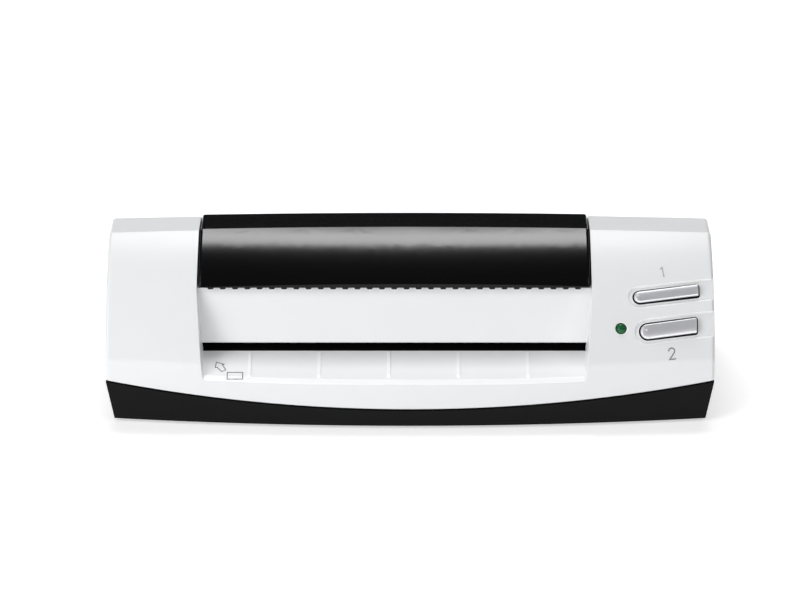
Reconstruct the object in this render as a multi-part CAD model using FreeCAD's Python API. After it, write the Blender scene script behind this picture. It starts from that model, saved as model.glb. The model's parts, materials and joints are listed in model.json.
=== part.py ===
import FreeCAD, Part
import math
import os

# Portable card scanner: two white end pods, a black hinged cover between them, a recessed
# feeder in front of the cover, and a black base that meets the white shell in a smile line.
# Millimetres. +X is to the right, +Y to the back, +Z up. The origin is the middle of the
# footprint, on the surface that the rubber feet stand on.

V = FreeCAD.Vector

# Outside form: each pair is the (y, z) place in the middle of the scanner and at its ends.
# Between them every edge follows a parabola, so the front bows out and the top is crowned.
half_width = 87.0
foot_height = 1.0
front_foot = ((-32.65, foot_height), (-27.4, foot_height))
front_split = ((-33.6, 6.7), (-29.4, 13.9))
front_crease = ((-33.0, 19.2), (-28.9, 19.9))
top_crease = ((0.0, 48.5), (-1.0, 47.5))
top_rear = ((11.5, 47.8), (10.8, 46.9))
rear_shoulder = ((33.0, 19.0), (30.8, 19.0))
rear_split = ((33.6, 6.7), (31.4, 13.9))
rear_foot = ((32.7, foot_height), (29.4, foot_height))
front_bulge = 21.7
rear_bulge = 25.0
side_draft = 2.0
shell = 1.8
floor_top = foot_height + 2.0
pod_edge_round = 1.1
soft_crease_round = 4.0
end_split_z = front_split[1][1]

split_edge_round = 0.3
groove_depth = 0.35
groove_height = 0.45

# The bay between the pods, which the cover fills, and the feeder in front of it
bay_left = -61.0
bay_right = 52.0
rib = 1.5
bay_middle = (bay_left + bay_right) / 2
lip_y, lip_z = -33.15, 15.15
entry_slope = 0.325
path_start_y = -18.2
bed_end_y = -20.8
bed_thickness = 1.6
feeder_draft = 1.9
panel_foot = (-20.8, 21.4)
panel_head = (-16.2, 37.0)
panel_thickness = 1.6
lip_round = 1.6
slope_rib_pitch = 19.9
slope_rib_width = 0.9
slope_rib_height = 0.2
slope_rib_middle = bay_middle - 1.6

# Paper path, rollers and gears
path_z = 20.0
shaft_z = 15.2
shaft_r = 1.5
feed_y = -10.0
idler_y = 2.0
exit_y = 14.0
roller_r = 5.0
roller_length = 16.0
roller_pitch = 35.5
roller_centres = [bay_middle - roller_pitch, bay_middle, bay_middle + roller_pitch]
pinch_r = 3.2
pinch_z = path_z + 0.5 + pinch_r
pinch_length = 12.0
pinch_axle_r = 1.0
running = 0.05
module = 0.5
pressure_angle = math.radians(25.0)
addendum = 0.85 * module
dedendum = 1.1 * module
backlash = 0.1
roller_teeth = 24
pinion_teeth = 12
wheel_teeth = 40
gear_inner_x = bay_left - rib - 1.0
gear_width = 3.0
wheel_width = 2.4
compound_z = shaft_z + module * (roller_teeth + pinion_teeth) / 2
motor_angle = math.radians(30.0)
motor_reach = module * (wheel_teeth + pinion_teeth) / 2
motor_y = idler_y + motor_reach * math.cos(motor_angle)
motor_z = compound_z + motor_reach * math.sin(motor_angle)
motor_r = 9.0
motor_length = 12.4
motor_shaft_r = 0.75
motor_collar_r = 3.5
stud_r = 1.0
hub_r = 2.2
bush_r = 2.6
bracket_x = gear_inner_x - gear_width - 4.6
bracket_thickness = 0.8
wheel_x = bracket_x + 1.2

# Sensor, card flag and the boards that stand on the floor
scan_left, scan_right = bay_left + 4.0, bay_right - 4.0
scan_front, scan_back = -4.0, 8.0
flag_x, flag_y, flag_z = bay_middle + 18.0, -15.2, 15.6
flag_pin_r = 0.7
strip_thickness = 0.3
board_thickness = 1.0
main_board_z = 4.6
gate_board_z = 3.6
gate_board_thickness = 1.2
socket_x = 70.0

# Screws: where they stand, and the radius of a shank and of its clearance hole
case_screw_spots = [(-81.2, -20.0), (-81.2, 24.0), (81.2, -8.0), (81.2, 24.0)]
foot_spots = [(-69.0, -19.0), (-69.0, 22.0), (69.0, -19.0), (69.0, 22.0)]
chassis_spots = [(x, y) for x in (-63.4, 54.4) for y in (-12.5, 21.5)]
bracket_spots = [(-75.0, 4.5), (-75.0, 18.5)]
main_board_spots = [(62.0, -11.0), (62.0, 26.0), (75.5, -11.0)]
gate_board_spots = [(8.0, -14.8), (19.0, -14.8)]
boss_top = 12.0
boss_roof = 3.0
case_boss_r = 3.0
screw_well_r = 2.3
case_shank_r = 1.0
pad_r = 2.2
foot_plate_z = 5.0
chassis_foot = 1.6
small_shank_r = 0.9
small_hole_r = 1.0
foot_r = 4.0
foot_recess = 0.8

# Cover
cover_proud = 0.5
cover_skin = 1.6
cover_gap = 0.3
cover_left = bay_left + cover_gap
cover_right = bay_right - cover_gap
cover_lip_y = -17.9
cover_lip_z = 37.75
hinge_y, hinge_z = 24.0, 29.2
hinge_pin_r = 1.5
nose_r = 4.9
nose_room = 0.8
rear_wall_top = 24.8
tooth_count = 31
tooth_pitch = 3.5
tooth_width = 1.7
tooth_drop = 0.55
cover_edge_round = 0.9
cover_corner_crop = 0.5
liner_top = 29.2
liner_plate = 1.4
liner_screw_spots = [(x, y) for x in (bay_left + 6.4, bay_right - 6.4) for y in (-7.0, 11.5)]
liner_rib_xs = [roller_centres[0] - 10.5, roller_centres[0] + 17.75, roller_centres[1] + 17.75,
                roller_centres[2] + 10.5]
plate_pin_xs = [roller_centres[0] + 6.0, roller_centres[2] - 6.0]

# Keys and lamp on the right pod: places on the sloping face, as (x, y, z) and slope
key_tilt = math.radians(7.6)
upper_key_at = (73.2, -18.6, 36.1, 44.4)
upper_key_size = (18.9, 3.7)
upper_channel = (62.2, 6.3)
lower_key_at = (73.7, -25.25, 28.2, 55.2)
lower_key_size = (16.5, 4.6)
lower_channel = (63.9, 7.1)
key_corner_round = 0.45
key_gap = 0.3
key_crown = 0.55
channel_depth = 0.4
lamp_at = (60.1, -25.5, 28.4, 55.4)
lamp_r = 1.6
key_board_slope = math.radians(50.0)
key_board_at = V(69.5, -12.2, 24.0)
key_board_thickness = 1.2
board_post_spots = [(57.0, 3.5), (67.7, -0.5)]
switch_height = 4.3


def box(x0, x1, y0, y1, z0, z1):
    return Part.makeBox(x1 - x0, y1 - y0, z1 - z0, V(x0, y0, z0))


def rod_x(x0, x1, y, z, radius):
    return Part.makeCylinder(radius, x1 - x0, V(x0, y, z), V(1, 0, 0))


def rod_z(x, y, z0, z1, radius):
    return Part.makeCylinder(radius, z1 - z0, V(x, y, z0), V(0, 0, 1))


def prism_x(points, x0, x1):
    """A closed outline of (y, z) points, carried from x0 to x1."""
    corners = [V(x0, y, z) for y, z in points]
    face = Part.Face(Part.makePolygon(corners + corners[:1]))
    return face.extrude(V(x1 - x0, 0, 0))


def prism_y(points, y0, y1):
    """A closed outline of (x, z) points, carried from y0 to y1."""
    corners = [V(x, y0, z) for x, z in points]
    face = Part.Face(Part.makePolygon(corners + corners[:1]))
    return face.extrude(V(0, y1 - y0, 0))


def join(pieces):
    whole = pieces[0].multiFuse(pieces[1:]) if len(pieces) > 1 else pieces[0]
    return whole.removeSplitter()


def save(name, shape):
    shape.exportStep("parts/" + name + ".step")


def on_parabola(pair, x):
    middle, end = pair
    share = (x / half_width) ** 2
    return middle[0] + share * (end[0] - middle[0]), middle[1] + share * (end[1] - middle[1])


def place(pair, x, dy=0.0, dz=0.0):
    y, z = on_parabola(pair, x)
    return V(x, y + dy, z + dz)


def line(a, b):
    return Part.LineSegment(a, b).toShape()


def bulged(a, b, half_angle):
    """A circular arc from a to b in the YZ plane that leaves its chord by half_angle degrees."""
    chord = b - a
    rise = chord.Length / 2 * math.tan(math.radians(half_angle) / 2)
    outward = V(0, -chord.z, chord.y).normalize()
    return Part.Arc(a, (a + b) * 0.5 + outward * rise, b).toShape()


def shell_section(x, inset, low=0.0):
    """The white shell's cross-section at x, moved inwards by inset and down by low at the split."""
    a = place(front_split, x, inset, -low)
    b = place(front_crease, x, inset, -0.3 * inset)
    c = place(top_crease, x, 0.3 * inset, -inset)
    d = place(top_rear, x, -0.5 * inset, -inset)
    e = place(rear_shoulder, x, -inset, 0)
    f = place(rear_split, x, -inset, -low)
    front = bulged(b, c, front_bulge)
    rear = bulged(d, e, rear_bulge)
    return Part.Wire([line(a, b), front, line(c, d), rear, line(e, f), line(f, a)])


def shell_form(inset, low=0.0, end_inset=None):
    reach = half_width - (inset if end_inset is None else end_inset)
    return Part.makeLoft([shell_section(x, inset, low) for x in (-reach, 0, reach)], True, False)


def base_section(x, inset, low_z, high):
    a = place(front_foot, x, inset, low_z - foot_height)
    b = place(front_split, x, inset, high)
    c = place(rear_split, x, -inset, high)
    d = place(rear_foot, x, -inset, low_z - foot_height)
    return Part.Wire([line(a, b), line(b, c), line(c, d), line(d, a)])


def base_form(inset, low_z, high):
    wires = [base_section(x, inset, low_z, high) for x in (-half_width, 0, half_width)]
    top, foot = half_width - inset, half_width - side_draft - inset
    sides = [(-foot, foot_height), (-top, end_split_z), (-top, 60), (top, 60), (top, end_split_z),
             (foot, foot_height)]
    return Part.makeLoft(wires, True, False).common(prism_y(sides, -50, 50))


def at_end(edge):
    box_of = edge.BoundBox
    return box_of.XLength < 0.01 and abs(abs(box_of.XMin) - half_width) < 0.01


def follows(edge, pair):
    """True for an edge that runs the whole width along one of the parabolas."""
    if edge.BoundBox.XLength < half_width:
        return False
    middle = edge.valueAt((edge.FirstParameter + edge.LastParameter) / 2)
    return (middle - place(pair, middle.x)).Length < 0.3


def rounded_shell():
    form = shell_form(0.0)
    soft = [edge for edge in form.Edges if follows(edge, front_crease)]
    form = form.makeFillet(soft_crease_round, soft)
    ends = [edge for edge in form.Edges if at_end(edge) and edge.CenterOfMass.z > end_split_z + 0.5]
    form = form.makeFillet(pod_edge_round, ends)
    underside = min(form.Faces, key=lambda face: face.CenterOfMass.z)
    return form.makeFillet(split_edge_round, underside.Edges)


def slope_z(y):
    return lip_z + entry_slope * (y - lip_y)


def key_frame(at, tilt=0.0):
    """A placement whose X runs along the key, Y up the slope and Z out of the surface."""
    x, y, z, slope = at
    rise = math.radians(slope)
    up = V(0, math.cos(rise), math.sin(rise))
    out = V(0, -math.sin(rise), math.cos(rise))
    along = V(1, 0, 0) * math.cos(tilt) + up * math.sin(tilt)
    across = out.cross(along)
    return FreeCAD.Placement(V(x, y, z), FreeCAD.Rotation(along, across, out, "XYZ"))


def key_outline(length, height, grow, depth_low, depth_high, at):
    """A bar with a round left end, carried through the pod's face. Its right end is cut straight up
    the slope, side by side with the pod's edge, and has small round corners."""
    r = height / 2 + grow
    left = -length / 2 + height / 2
    right = length / 2 + grow
    lean = r * math.tan(key_tilt)
    top_left, top_right = V(left, r, depth_low), V(right + lean, r, depth_low)
    foot_left, foot_right = V(left, -r, depth_low), V(right - lean, -r, depth_low)
    cap = Part.Arc(top_left, V(left - r, 0, depth_low), foot_left).toShape()
    wire = Part.Wire([cap, line(foot_left, foot_right), line(foot_right, top_right), line(top_right, top_left)])
    solid = Part.Face(wire).extrude(V(0, 0, depth_high - depth_low))
    corners = [edge for edge in solid.Edges
               if edge.BoundBox.XMin > right - 2 * lean and edge.BoundBox.ZLength > 0.1]
    solid = solid.makeFillet(key_corner_round + grow, corners)
    solid.Placement = key_frame(at, key_tilt)
    return solid


def channel(at, left_x, height):
    """The groove round a key, with a round left end, which runs out of the pod's side."""
    r = height / 2
    start = left_x - at[0] + r
    low, high = -6.0, 6.0
    top_left, top_right = V(start, r, low), V(30, r, low)
    foot_left, foot_right = V(start, -r, low), V(30, -r, low)
    cap = Part.Arc(top_left, V(start - r, 0, low), foot_left).toShape()
    wire = Part.Wire([cap, line(foot_left, foot_right), line(foot_right, top_right), line(top_right, top_left)])
    solid = Part.Face(wire).extrude(V(0, 0, high - low))
    solid.Placement = key_frame(at, key_tilt)
    return solid


def base_tray():
    """The black tray. A fine groove runs round it right under the white shell."""
    outside = base_form(0.0, foot_height, -groove_height)
    tray = outside.fuse(base_form(groove_depth, foot_height, 0.0))
    tray = tray.cut(base_form(shell, floor_top, 4.0))
    for x, y in case_screw_spots:
        tray = tray.fuse(rod_z(x, y, foot_height + 1, boss_top, case_boss_r).common(outside))
    for x, y, top in base_pads():
        tray = tray.fuse(rod_z(x, y, floor_top - 0.5, top, pad_r))
    for x, y in case_screw_spots:
        tray = tray.cut(rod_z(x, y, 0, boss_top - boss_roof, screw_well_r))
        tray = tray.cut(rod_z(x, y, 0, boss_top + 1, case_shank_r + 0.25))
    for x, y in foot_spots:
        tray = tray.cut(rod_z(x, y, 0, foot_height + foot_recess, foot_r))
    for x, y, top in base_pads():
        tray = tray.cut(rod_z(x, y, floor_top, top + 1, small_shank_r))
    tray = tray.cut(socket_hole())
    save("base_tray", tray.removeSplitter())


def base_pads():
    """Screw pads on the floor, as (x, y, top)."""
    raised = [(x, y, foot_plate_z) for x, y in chassis_spots + bracket_spots]
    boards = [(x, y, main_board_z) for x, y in main_board_spots]
    return raised + boards + [(x, y, gate_board_z) for x, y in gate_board_spots]


def socket_hole():
    return box(socket_x - 4.3, socket_x + 4.3, 27.0, 40.0, 5.5, 9.9)


def feeder_walls():
    """Drafted cheeks that narrow the feeder towards the entry bed."""
    wedges = []
    for edge, way in ((bay_left, 1), (bay_right, -1)):
        outline = [(edge, 37.0), (edge + way * feeder_draft, lip_z), (edge + way * feeder_draft, 9.0)]
        outline = outline + [(edge - way * 0.5, 9.0), (edge - way * 0.5, 37.0)]
        wedges.append(prism_y(outline, -40, -14))
    back = panel_thickness / 2
    front = [(-45, 5), (path_start_y, slope_z(path_start_y) - 1), (panel_foot[0] + back, 21.4)]
    front = front + [(panel_head[0] + back, 37.0), (-45, 37.0)]
    region = prism_x(front, -70, 70)
    above_bed = [(-45, slope_z(-45) - bed_thickness), (0, slope_z(0) - bed_thickness), (0, 60), (-45, 60)]
    bed_low = prism_x(above_bed, -70, 70)
    return [wedge.common(region).common(bed_low) for wedge in wedges]


def lip_section(x):
    """What the rounding takes off the lip at x: the corner of the bed and the front wall, up to an arc."""
    low, high = place(front_split, x), place(front_crease, x)
    down = (low - high).normalize()
    uphill = V(0, 1, entry_slope).normalize()
    share = (slope_z(high.y) - high.z) / ((low.z - high.z) - entry_slope * (low.y - high.y))
    corner = high + (low - high) * share
    inward = (down + uphill).normalize()
    half = math.acos(down.dot(uphill)) / 2
    on_bed = corner + uphill * (lip_round / math.tan(half))
    on_wall = corner + down * (lip_round / math.tan(half))
    crown = corner + inward * (lip_round / math.sin(half) - lip_round)
    over_bed = on_bed + V(0, -uphill.z, uphill.y) * 0.5
    before_wall = on_wall + V(0, down.z, -down.y) * 0.5
    outside = corner - inward * 2.0
    arc = Part.Arc(on_wall, crown, on_bed).toShape()
    return Part.Wire([line(on_bed, over_bed), line(over_bed, outside), line(outside, before_wall),
                      line(before_wall, on_wall), arc])


def lip_corner():
    """The sharp corner along the lip, between the cheeks, that the rounding takes away."""
    corner = Part.makeLoft([lip_section(x) for x in (-half_width, 0, half_width)], True, False)
    left, right = bay_left + feeder_draft, bay_right - feeder_draft
    low = lip_z - 3.0
    return corner.common(prism_y([(left, low), (left, lip_z), (bay_left, 37), (bay_right, 37), (right, lip_z),
                                  (right, low)], -45, -14))


def casing_form(outer):
    """The outside of the casing: the shell with the bay and the feeder cut into it, and the lip rounded."""
    opening = [(-45, slope_z(-45)), (path_start_y, slope_z(path_start_y)), (22, path_z), (22, rear_wall_top)]
    opening = opening + [(45, rear_wall_top), (45, 70), (-45, 70)]
    form = outer.cut(prism_x(opening, bay_left, bay_right))
    for wall in feeder_walls():
        form = form.fuse(wall.common(outer))
    return form.removeSplitter().cut(lip_corner())


def upper_casing():
    outer = rounded_shell()
    under = bed_thickness
    side = [(-45, slope_z(-45) - under), (path_start_y, slope_z(path_start_y) - under), (45, 18.6), (45, 70),
            (-45, 70)]
    ribs = [prism_x(side, bay_left - rib, bay_left), prism_x(side, bay_right, bay_right + rib)]
    bed_outline = [(-45, slope_z(-45)), (bed_end_y, slope_z(bed_end_y)),
                   (bed_end_y, slope_z(bed_end_y) - under), (-45, slope_z(-45) - under)]
    bed = prism_x(bed_outline, bay_left - rib, bay_right + rib)
    casing = join([outer.cut(shell_form(shell, 3.0))] + ribs + feeder_walls() + [bed])
    casing = casing.common(casing_form(outer))
    casing = join([casing, feeder_panel(), hinge_trough()] + slope_ribs())
    casing = casing.fuse(screw_posts().common(outer)).fuse(board_posts().common(outer))
    casing = casing.cut(rod_x(bay_left, bay_right, hinge_y, hinge_z, nose_r + nose_room))
    for x, y in case_screw_spots:
        casing = casing.cut(rod_z(x, y, boss_top - 1, boss_top + 7.5, small_hole_r))
    casing = casing.cut(rod_x(bay_left - rib - 1, bay_left + 1, hinge_y, hinge_z, hinge_pin_r))
    casing = casing.cut(rod_x(bay_right - 1, bay_right + rib + 1, hinge_y, hinge_z, hinge_pin_r))
    casing = casing.cut(box(bay_left + 2.5, bay_right - 2.5, 26, 40, path_z - 0.3, path_z + 2.4))
    casing = casing.cut(key_cuts(outer))
    save("upper_casing", casing.removeSplitter())


def feeder_panel():
    foot_y, foot_z = panel_foot
    head_y, head_z = panel_head
    outline = [(foot_y, foot_z), (head_y, head_z), (head_y + panel_thickness, head_z),
               (foot_y + panel_thickness, foot_z)]
    panel = prism_x(outline, bay_left - 0.5, bay_right + 0.5)
    low = [edge for edge in panel.Edges if edge.BoundBox.XLength > 50 and edge.BoundBox.ZMax < foot_z + 0.1]
    return panel.makeFillet(0.7, low)


def hinge_trough():
    """The curved gutter under the cover's rolled rear edge."""
    width = bay_right - bay_left + 1.0
    start = V(bay_left - 0.5, hinge_y, hinge_z)
    ring = Part.makeCylinder(nose_r + nose_room + 1.0, width, start, V(1, 0, 0))
    ring = ring.cut(Part.makeCylinder(nose_r + nose_room, width, start, V(1, 0, 0)))
    keep = prism_x([(hinge_y - 6.0, 27.0), (hinge_y - 6.0, 20), (31.0, 20), (31.0, rear_wall_top)], -70, 70)
    return ring.common(keep)


def slope_ribs():
    """Five faint ribs on the entry bed, which the card rides on."""
    ribs = []
    low, high = -31.6, bed_end_y - 0.8
    outline = [(low, slope_z(low) - 0.4), (low, slope_z(low)),
               (low + 1.0, slope_z(low + 1.0) + slope_rib_height), (high, slope_z(high) + slope_rib_height),
               (bed_end_y - 0.1, slope_z(bed_end_y) - 0.4)]
    for step in range(-2, 3):
        x = slope_rib_middle + step * slope_rib_pitch
        ribs.append(prism_x(outline, x - slope_rib_width / 2, x + slope_rib_width / 2))
    return ribs


def screw_posts():
    posts = []
    for x, y in case_screw_spots:
        way = 1 if x > 0 else -1
        web = box(min(x, x + way * 5), max(x, x + way * 5), y - 0.7, y + 0.7, boss_top + 2, 21.0)
        posts.append(rod_z(x, y, boss_top, 21.0, 2.8).fuse(web))
    return join(posts)


def board_spot(x, up_slope, out):
    """A point on the key board: x, then millimetres up the slope and out of the board."""
    up = V(0, math.cos(key_board_slope), math.sin(key_board_slope))
    normal = V(0, -math.sin(key_board_slope), math.cos(key_board_slope))
    return V(x, key_board_at.y, key_board_at.z) + up * up_slope + normal * out


def board_posts():
    out = V(0, -math.sin(key_board_slope), math.cos(key_board_slope))
    posts = [Part.makeCylinder(1.7, 18.0, board_spot(x, s, 0.0), out) for x, s in board_post_spots]
    holes = [Part.makeCylinder(0.8, 4.5, board_spot(x, s, -0.5), out) for x, s in board_post_spots]
    return join(posts).cut(Part.makeCompound(holes))


def key_cuts(outer):
    """Holes for the keys and the lamp, and the shallow grooves round the keys."""
    skin = outer.cut(shell_form(channel_depth, 3.0, 0.0))
    cuts = [channel(upper_key_at, *upper_channel).common(skin)]
    cuts.append(channel(lower_key_at, *lower_channel).common(skin))
    cuts.append(key_outline(*upper_key_size, key_gap, -5.0, 5.0, upper_key_at))
    cuts.append(key_outline(*lower_key_size, key_gap, -5.0, 5.0, lower_key_at))
    hole = Part.makeCylinder(lamp_r + 0.05, 8.0, V(0, 0, -4))
    hole.Placement = key_frame(lamp_at)
    cuts.append(hole)
    return Part.makeCompound(cuts)


def key(name, at, size):
    """A crowned cap that stands proud of the pod, a rim that holds it in, and a stem."""
    crown = shell_form(-key_crown, 0.0, 0.0)
    cap = key_outline(*size, 0.0, -3.4, 5.0, at).common(crown)
    rim = key_outline(*size, 0.8, -4.4, -3.4, at)
    frame = key_frame(at, key_tilt)
    stem = Part.makeCylinder(1.5, stem_length(at) - 4.0, V(0, 0, -stem_length(at)))
    stem.Placement = frame
    whole = join([cap, rim, stem])
    save(name, whole)


def stem_length(at):
    """Depth from a key's face to just above its switch, along the key's own travel."""
    frame = key_frame(at)
    out = frame.Rotation.multVec(V(0, 0, 1))
    board_out = V(0, -math.sin(key_board_slope), math.cos(key_board_slope))
    switch_top = board_spot(at[0], 0, switch_height + 0.75)
    return (frame.Base - switch_top).dot(board_out) / out.dot(board_out)


def switch_place(at):
    frame = key_frame(at)
    out = frame.Rotation.multVec(V(0, 0, 1))
    tip = frame.Base - out * stem_length(at)
    up = V(0, math.cos(key_board_slope), math.sin(key_board_slope))
    return (tip - board_spot(at[0], 0, 0)).dot(up)


def on_board(shape, x, up_slope, out=0.0):
    up = V(0, math.cos(key_board_slope), math.sin(key_board_slope))
    normal = V(0, -math.sin(key_board_slope), math.cos(key_board_slope))
    turn = FreeCAD.Rotation(V(1, 0, 0), up, normal, "XYZ")
    shape.Placement = FreeCAD.Placement(board_spot(x, up_slope, out), turn)
    return shape


def key_switches():
    switches = []
    for at in (upper_key_at, lower_key_at):
        body = Part.makeBox(6.0, 6.0, switch_height - 0.8, V(-3, -3, 0))
        button = Part.makeCylinder(1.7, 0.8, V(0, 0, switch_height - 0.8))
        switches.append(on_board(body.fuse(button), at[0], switch_place(at)))
    save("key_switches", Part.makeCompound(switches))


def key_board():
    board = Part.makeBox(27.6, 21.0, key_board_thickness, V(-14.2, -10.5, -key_board_thickness))
    board = on_board(board, key_board_at.x, 0)
    out = V(0, -math.sin(key_board_slope), math.cos(key_board_slope))
    for x, s in board_post_spots:
        board = board.cut(Part.makeCylinder(0.85, 3.0, board_spot(x, s, -2.0), out))
    save("key_board", board)


def screw(base, way, length, head_r, head_height, shank_r):
    """A pan-head screw: base is the face the head sits on, way points along the shank."""
    shank = Part.makeCylinder(shank_r, length, base, way)
    flat = head_height * 0.6
    head = Part.makeCylinder(head_r, flat, base - way * flat, way)
    crown = Part.makeCone(head_r * 0.75, head_r, head_height - flat, base - way * head_height, way)
    return shank.multiFuse([head, crown]).removeSplitter()


def key_board_screws():
    way = V(0, -math.sin(key_board_slope), math.cos(key_board_slope))
    save("key_board_screws", Part.makeCompound(
        [screw(board_spot(x, s, -key_board_thickness), way, 4.5, 1.5, 0.9, 0.8) for x, s in board_post_spots]))


def case_screws():
    up = V(0, 0, 1)
    save("case_screws", Part.makeCompound(
        [screw(V(x, y, boss_top - boss_roof), up, 9.5, 2.1, 1.5, case_shank_r) for x, y in case_screw_spots]))


def rubber_feet():
    feet = []
    for x, y in foot_spots:
        foot = rod_z(x, y, 0, foot_height + foot_recess, foot_r - 0.05)
        rim = [edge for edge in foot.Edges if edge.BoundBox.ZMax < 0.01]
        feet.append(foot.makeChamfer(0.3, rim))
    save("rubber_feet", Part.makeCompound(feet))


def status_lamp():
    body = Part.makeCylinder(lamp_r, 5.0, V(0, 0, -5.0))
    ball = Part.makeSphere(lamp_r, V(0, 0, -0.45))
    dome = ball.common(Part.makeCylinder(lamp_r, 4.0, V(0, 0, -0.45)))
    flange = Part.makeCylinder(lamp_r + 0.35, 0.8, V(0, 0, -5.6))
    lens = join([body.cut(Part.makeCylinder(5, 4, V(0, 0, -0.45))), dome, flange])
    lens.Placement = key_frame(lamp_at)
    save("status_lamp", lens)
    leads = []
    for side in (-0.6, 0.6):
        lead = Part.makeCylinder(0.25, 16.0, V(side, 0, -21.6))
        lead.Placement = key_frame(lamp_at)
        under = Part.makeBox(60, 60, 30, V(-30, -30, -30))
        leads.append(lead.cut(on_board(under, key_board_at.x, 0)))
    save("lamp_leads", Part.makeCompound(leads))


def chassis():
    """The black frame: the lower guide that the card slides on, and the cheeks that carry the shafts."""
    plate = box(bay_left + 0.2, bay_right - 0.2, path_start_y + 0.2, 29.4, path_z - bed_thickness, path_z)
    left = box(bay_left + 0.2, bay_left + 1.8, -17.0, 29.0, foot_plate_z, path_z - 1.0)
    right = box(bay_right - 1.8, bay_right - 0.2, -17.0, 29.0, foot_plate_z, path_z - 1.0)
    front, back = bed_end_y + 0.1, path_start_y + 0.3
    slope = [(front, slope_z(front)), (back, path_z), (back, path_z - bed_thickness),
             (front, slope_z(front) - bed_thickness)]
    guide = prism_x(slope, bay_left + feeder_draft, bay_right - feeder_draft)
    pieces = [plate, guide, left, right]
    for x, y in chassis_spots:
        pieces.append(box(x - 2.6, x + 2.6, y - 3.5, y + 3.5, foot_plate_z, foot_plate_z + chassis_foot))
    for x0, x1 in ((flag_x - 3.0, flag_x - 1.8), (flag_x + 1.8, flag_x + 3.0)):
        pieces.append(box(x0, x1, flag_y - 1.6, flag_y + 1.6, flag_z - 1.6, path_z - 1.0))
    frame = join(pieces)
    for xc in roller_centres:
        for y in (feed_y, exit_y):
            frame = frame.cut(box(xc - 9.0, xc + 9.0, y - 4.6, y + 4.6, path_z - 3, path_z + 1))
    frame = frame.cut(box(scan_left - 0.4, scan_right + 0.4, scan_front - 0.3, scan_back + 0.3,
                          path_z - 3, path_z + 1))
    frame = frame.cut(box(flag_x - 1.5, flag_x + 1.5, flag_y - 1.2, flag_y + 6.0, path_z - 3, path_z + 1))
    for y in (feed_y, exit_y):
        frame = frame.cut(rod_x(-70, 70, y, shaft_z, bush_r))
    frame = frame.cut(rod_x(flag_x - 5, flag_x + 5, flag_y, flag_z, flag_pin_r))
    frame = frame.cut(box(-70, 70, feed_y + 4.5, exit_y - 4.5, 4, 11.5))
    frame = frame.cut(rod_x(-70, -50, idler_y, shaft_z, stud_r))
    for x, y in chassis_spots:
        frame = frame.cut(rod_z(x, y, 4, 8, small_hole_r))
    save("chassis", frame)


def chassis_screws():
    down = V(0, 0, -1)
    seat = foot_plate_z + chassis_foot
    save("chassis_screws", Part.makeCompound(
        [screw(V(x, y, seat), down, 3.4, 1.8, 1.2, small_shank_r) for x, y in chassis_spots]))


def shaft_bushes():
    bushes = []
    for y in (feed_y, exit_y):
        for edge, way in ((bay_left + 0.2, 1), (bay_right - 0.2, -1)):
            barrel = Part.makeCylinder(bush_r, 1.6, V(edge, y, shaft_z), V(way, 0, 0))
            collar = Part.makeCylinder(3.1, 0.8, V(edge + way * 1.6, y, shaft_z), V(way, 0, 0))
            bore = Part.makeCylinder(shaft_r + running, 4.0, V(edge - way, y, shaft_z), V(way, 0, 0))
            bushes.append(barrel.fuse(collar).cut(bore))
    save("shaft_bushes", Part.makeCompound(bushes))


def roller_set(prefix, y):
    shaft = rod_x(gear_inner_x - gear_width - 0.6, bay_right + 1.2, y, shaft_z, shaft_r)
    groove = rod_x(bay_right + 0.1, bay_right + 0.7, y, shaft_z, 2.0)
    groove = groove.cut(rod_x(bay_right, bay_right + 0.8, y, shaft_z, 1.1))
    save(prefix + "_shaft", shaft.cut(groove))
    rollers = []
    for xc in roller_centres:
        drum = rod_x(xc - roller_length / 2, xc + roller_length / 2, y, shaft_z, roller_r)
        drum = drum.makeChamfer(0.4, [edge for edge in drum.Edges if edge.BoundBox.XLength < 0.01])
        rollers.append(drum.cut(rod_x(xc - 10, xc + 10, y, shaft_z, shaft_r)))
    save(prefix + "_rollers", Part.makeCompound(rollers))
    clip = rod_x(bay_right + 0.15, bay_right + 0.65, y, shaft_z, 2.6)
    clip = clip.cut(rod_x(bay_right, bay_right + 1, y, shaft_z, 1.1))
    clip = clip.cut(box(bay_right, bay_right + 1, y - 0.8, y + 0.8, shaft_z - 3, shaft_z))
    save(prefix + "_clip", clip)


def involute(r_base, r, start):
    """The polar angle that an involute from angle start has reached at radius r."""
    if r <= r_base:
        return start
    roll = math.sqrt((r / r_base) ** 2 - 1)
    return start + roll - math.atan(roll)


def gear(teeth, x0, width, y, z, phase, bore):
    """A spur gear about X whose flanks are involutes; phase is the angle of one tooth."""
    r_pitch = module * teeth / 2
    r_base = r_pitch * math.cos(pressure_angle)
    r_tip = r_pitch + addendum
    r_root = r_pitch - dedendum
    half = (math.pi * module / 2 - backlash / 2) / 2 / r_pitch
    lean = involute(r_base, r_pitch, 0.0)
    stations = [r_root, max(r_base, r_root + 0.05), r_pitch, r_tip]
    points = []
    for tooth in range(teeth):
        middle = phase + 2 * math.pi * tooth / teeth
        rising = [(r, middle - half - lean + involute(r_base, r, 0.0)) for r in stations]
        falling = [(r, 2 * middle - angle) for r, angle in reversed(rising)]
        points = points + rising + falling
    corners = [V(x0, y + r * math.cos(a), z + r * math.sin(a)) for r, a in points]
    face = Part.Face(Part.makePolygon(corners + corners[:1]))
    return face.extrude(V(width, 0, 0)).cut(rod_x(x0 - 1, x0 + width + 1, y, z, bore))


def mesh_phase(teeth_a, phase_a, teeth_b, direction):
    """The phase that puts gear b, seen from gear a along direction, in mesh with it."""
    r_a = module * teeth_a / 2
    r_b = module * teeth_b / 2
    step = 2 * math.pi / teeth_a
    nearest = phase_a + step * round((direction - phase_a) / step)
    arc = r_a * (nearest - direction) + math.pi * module / 2
    return direction + math.pi - arc / r_b


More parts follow.
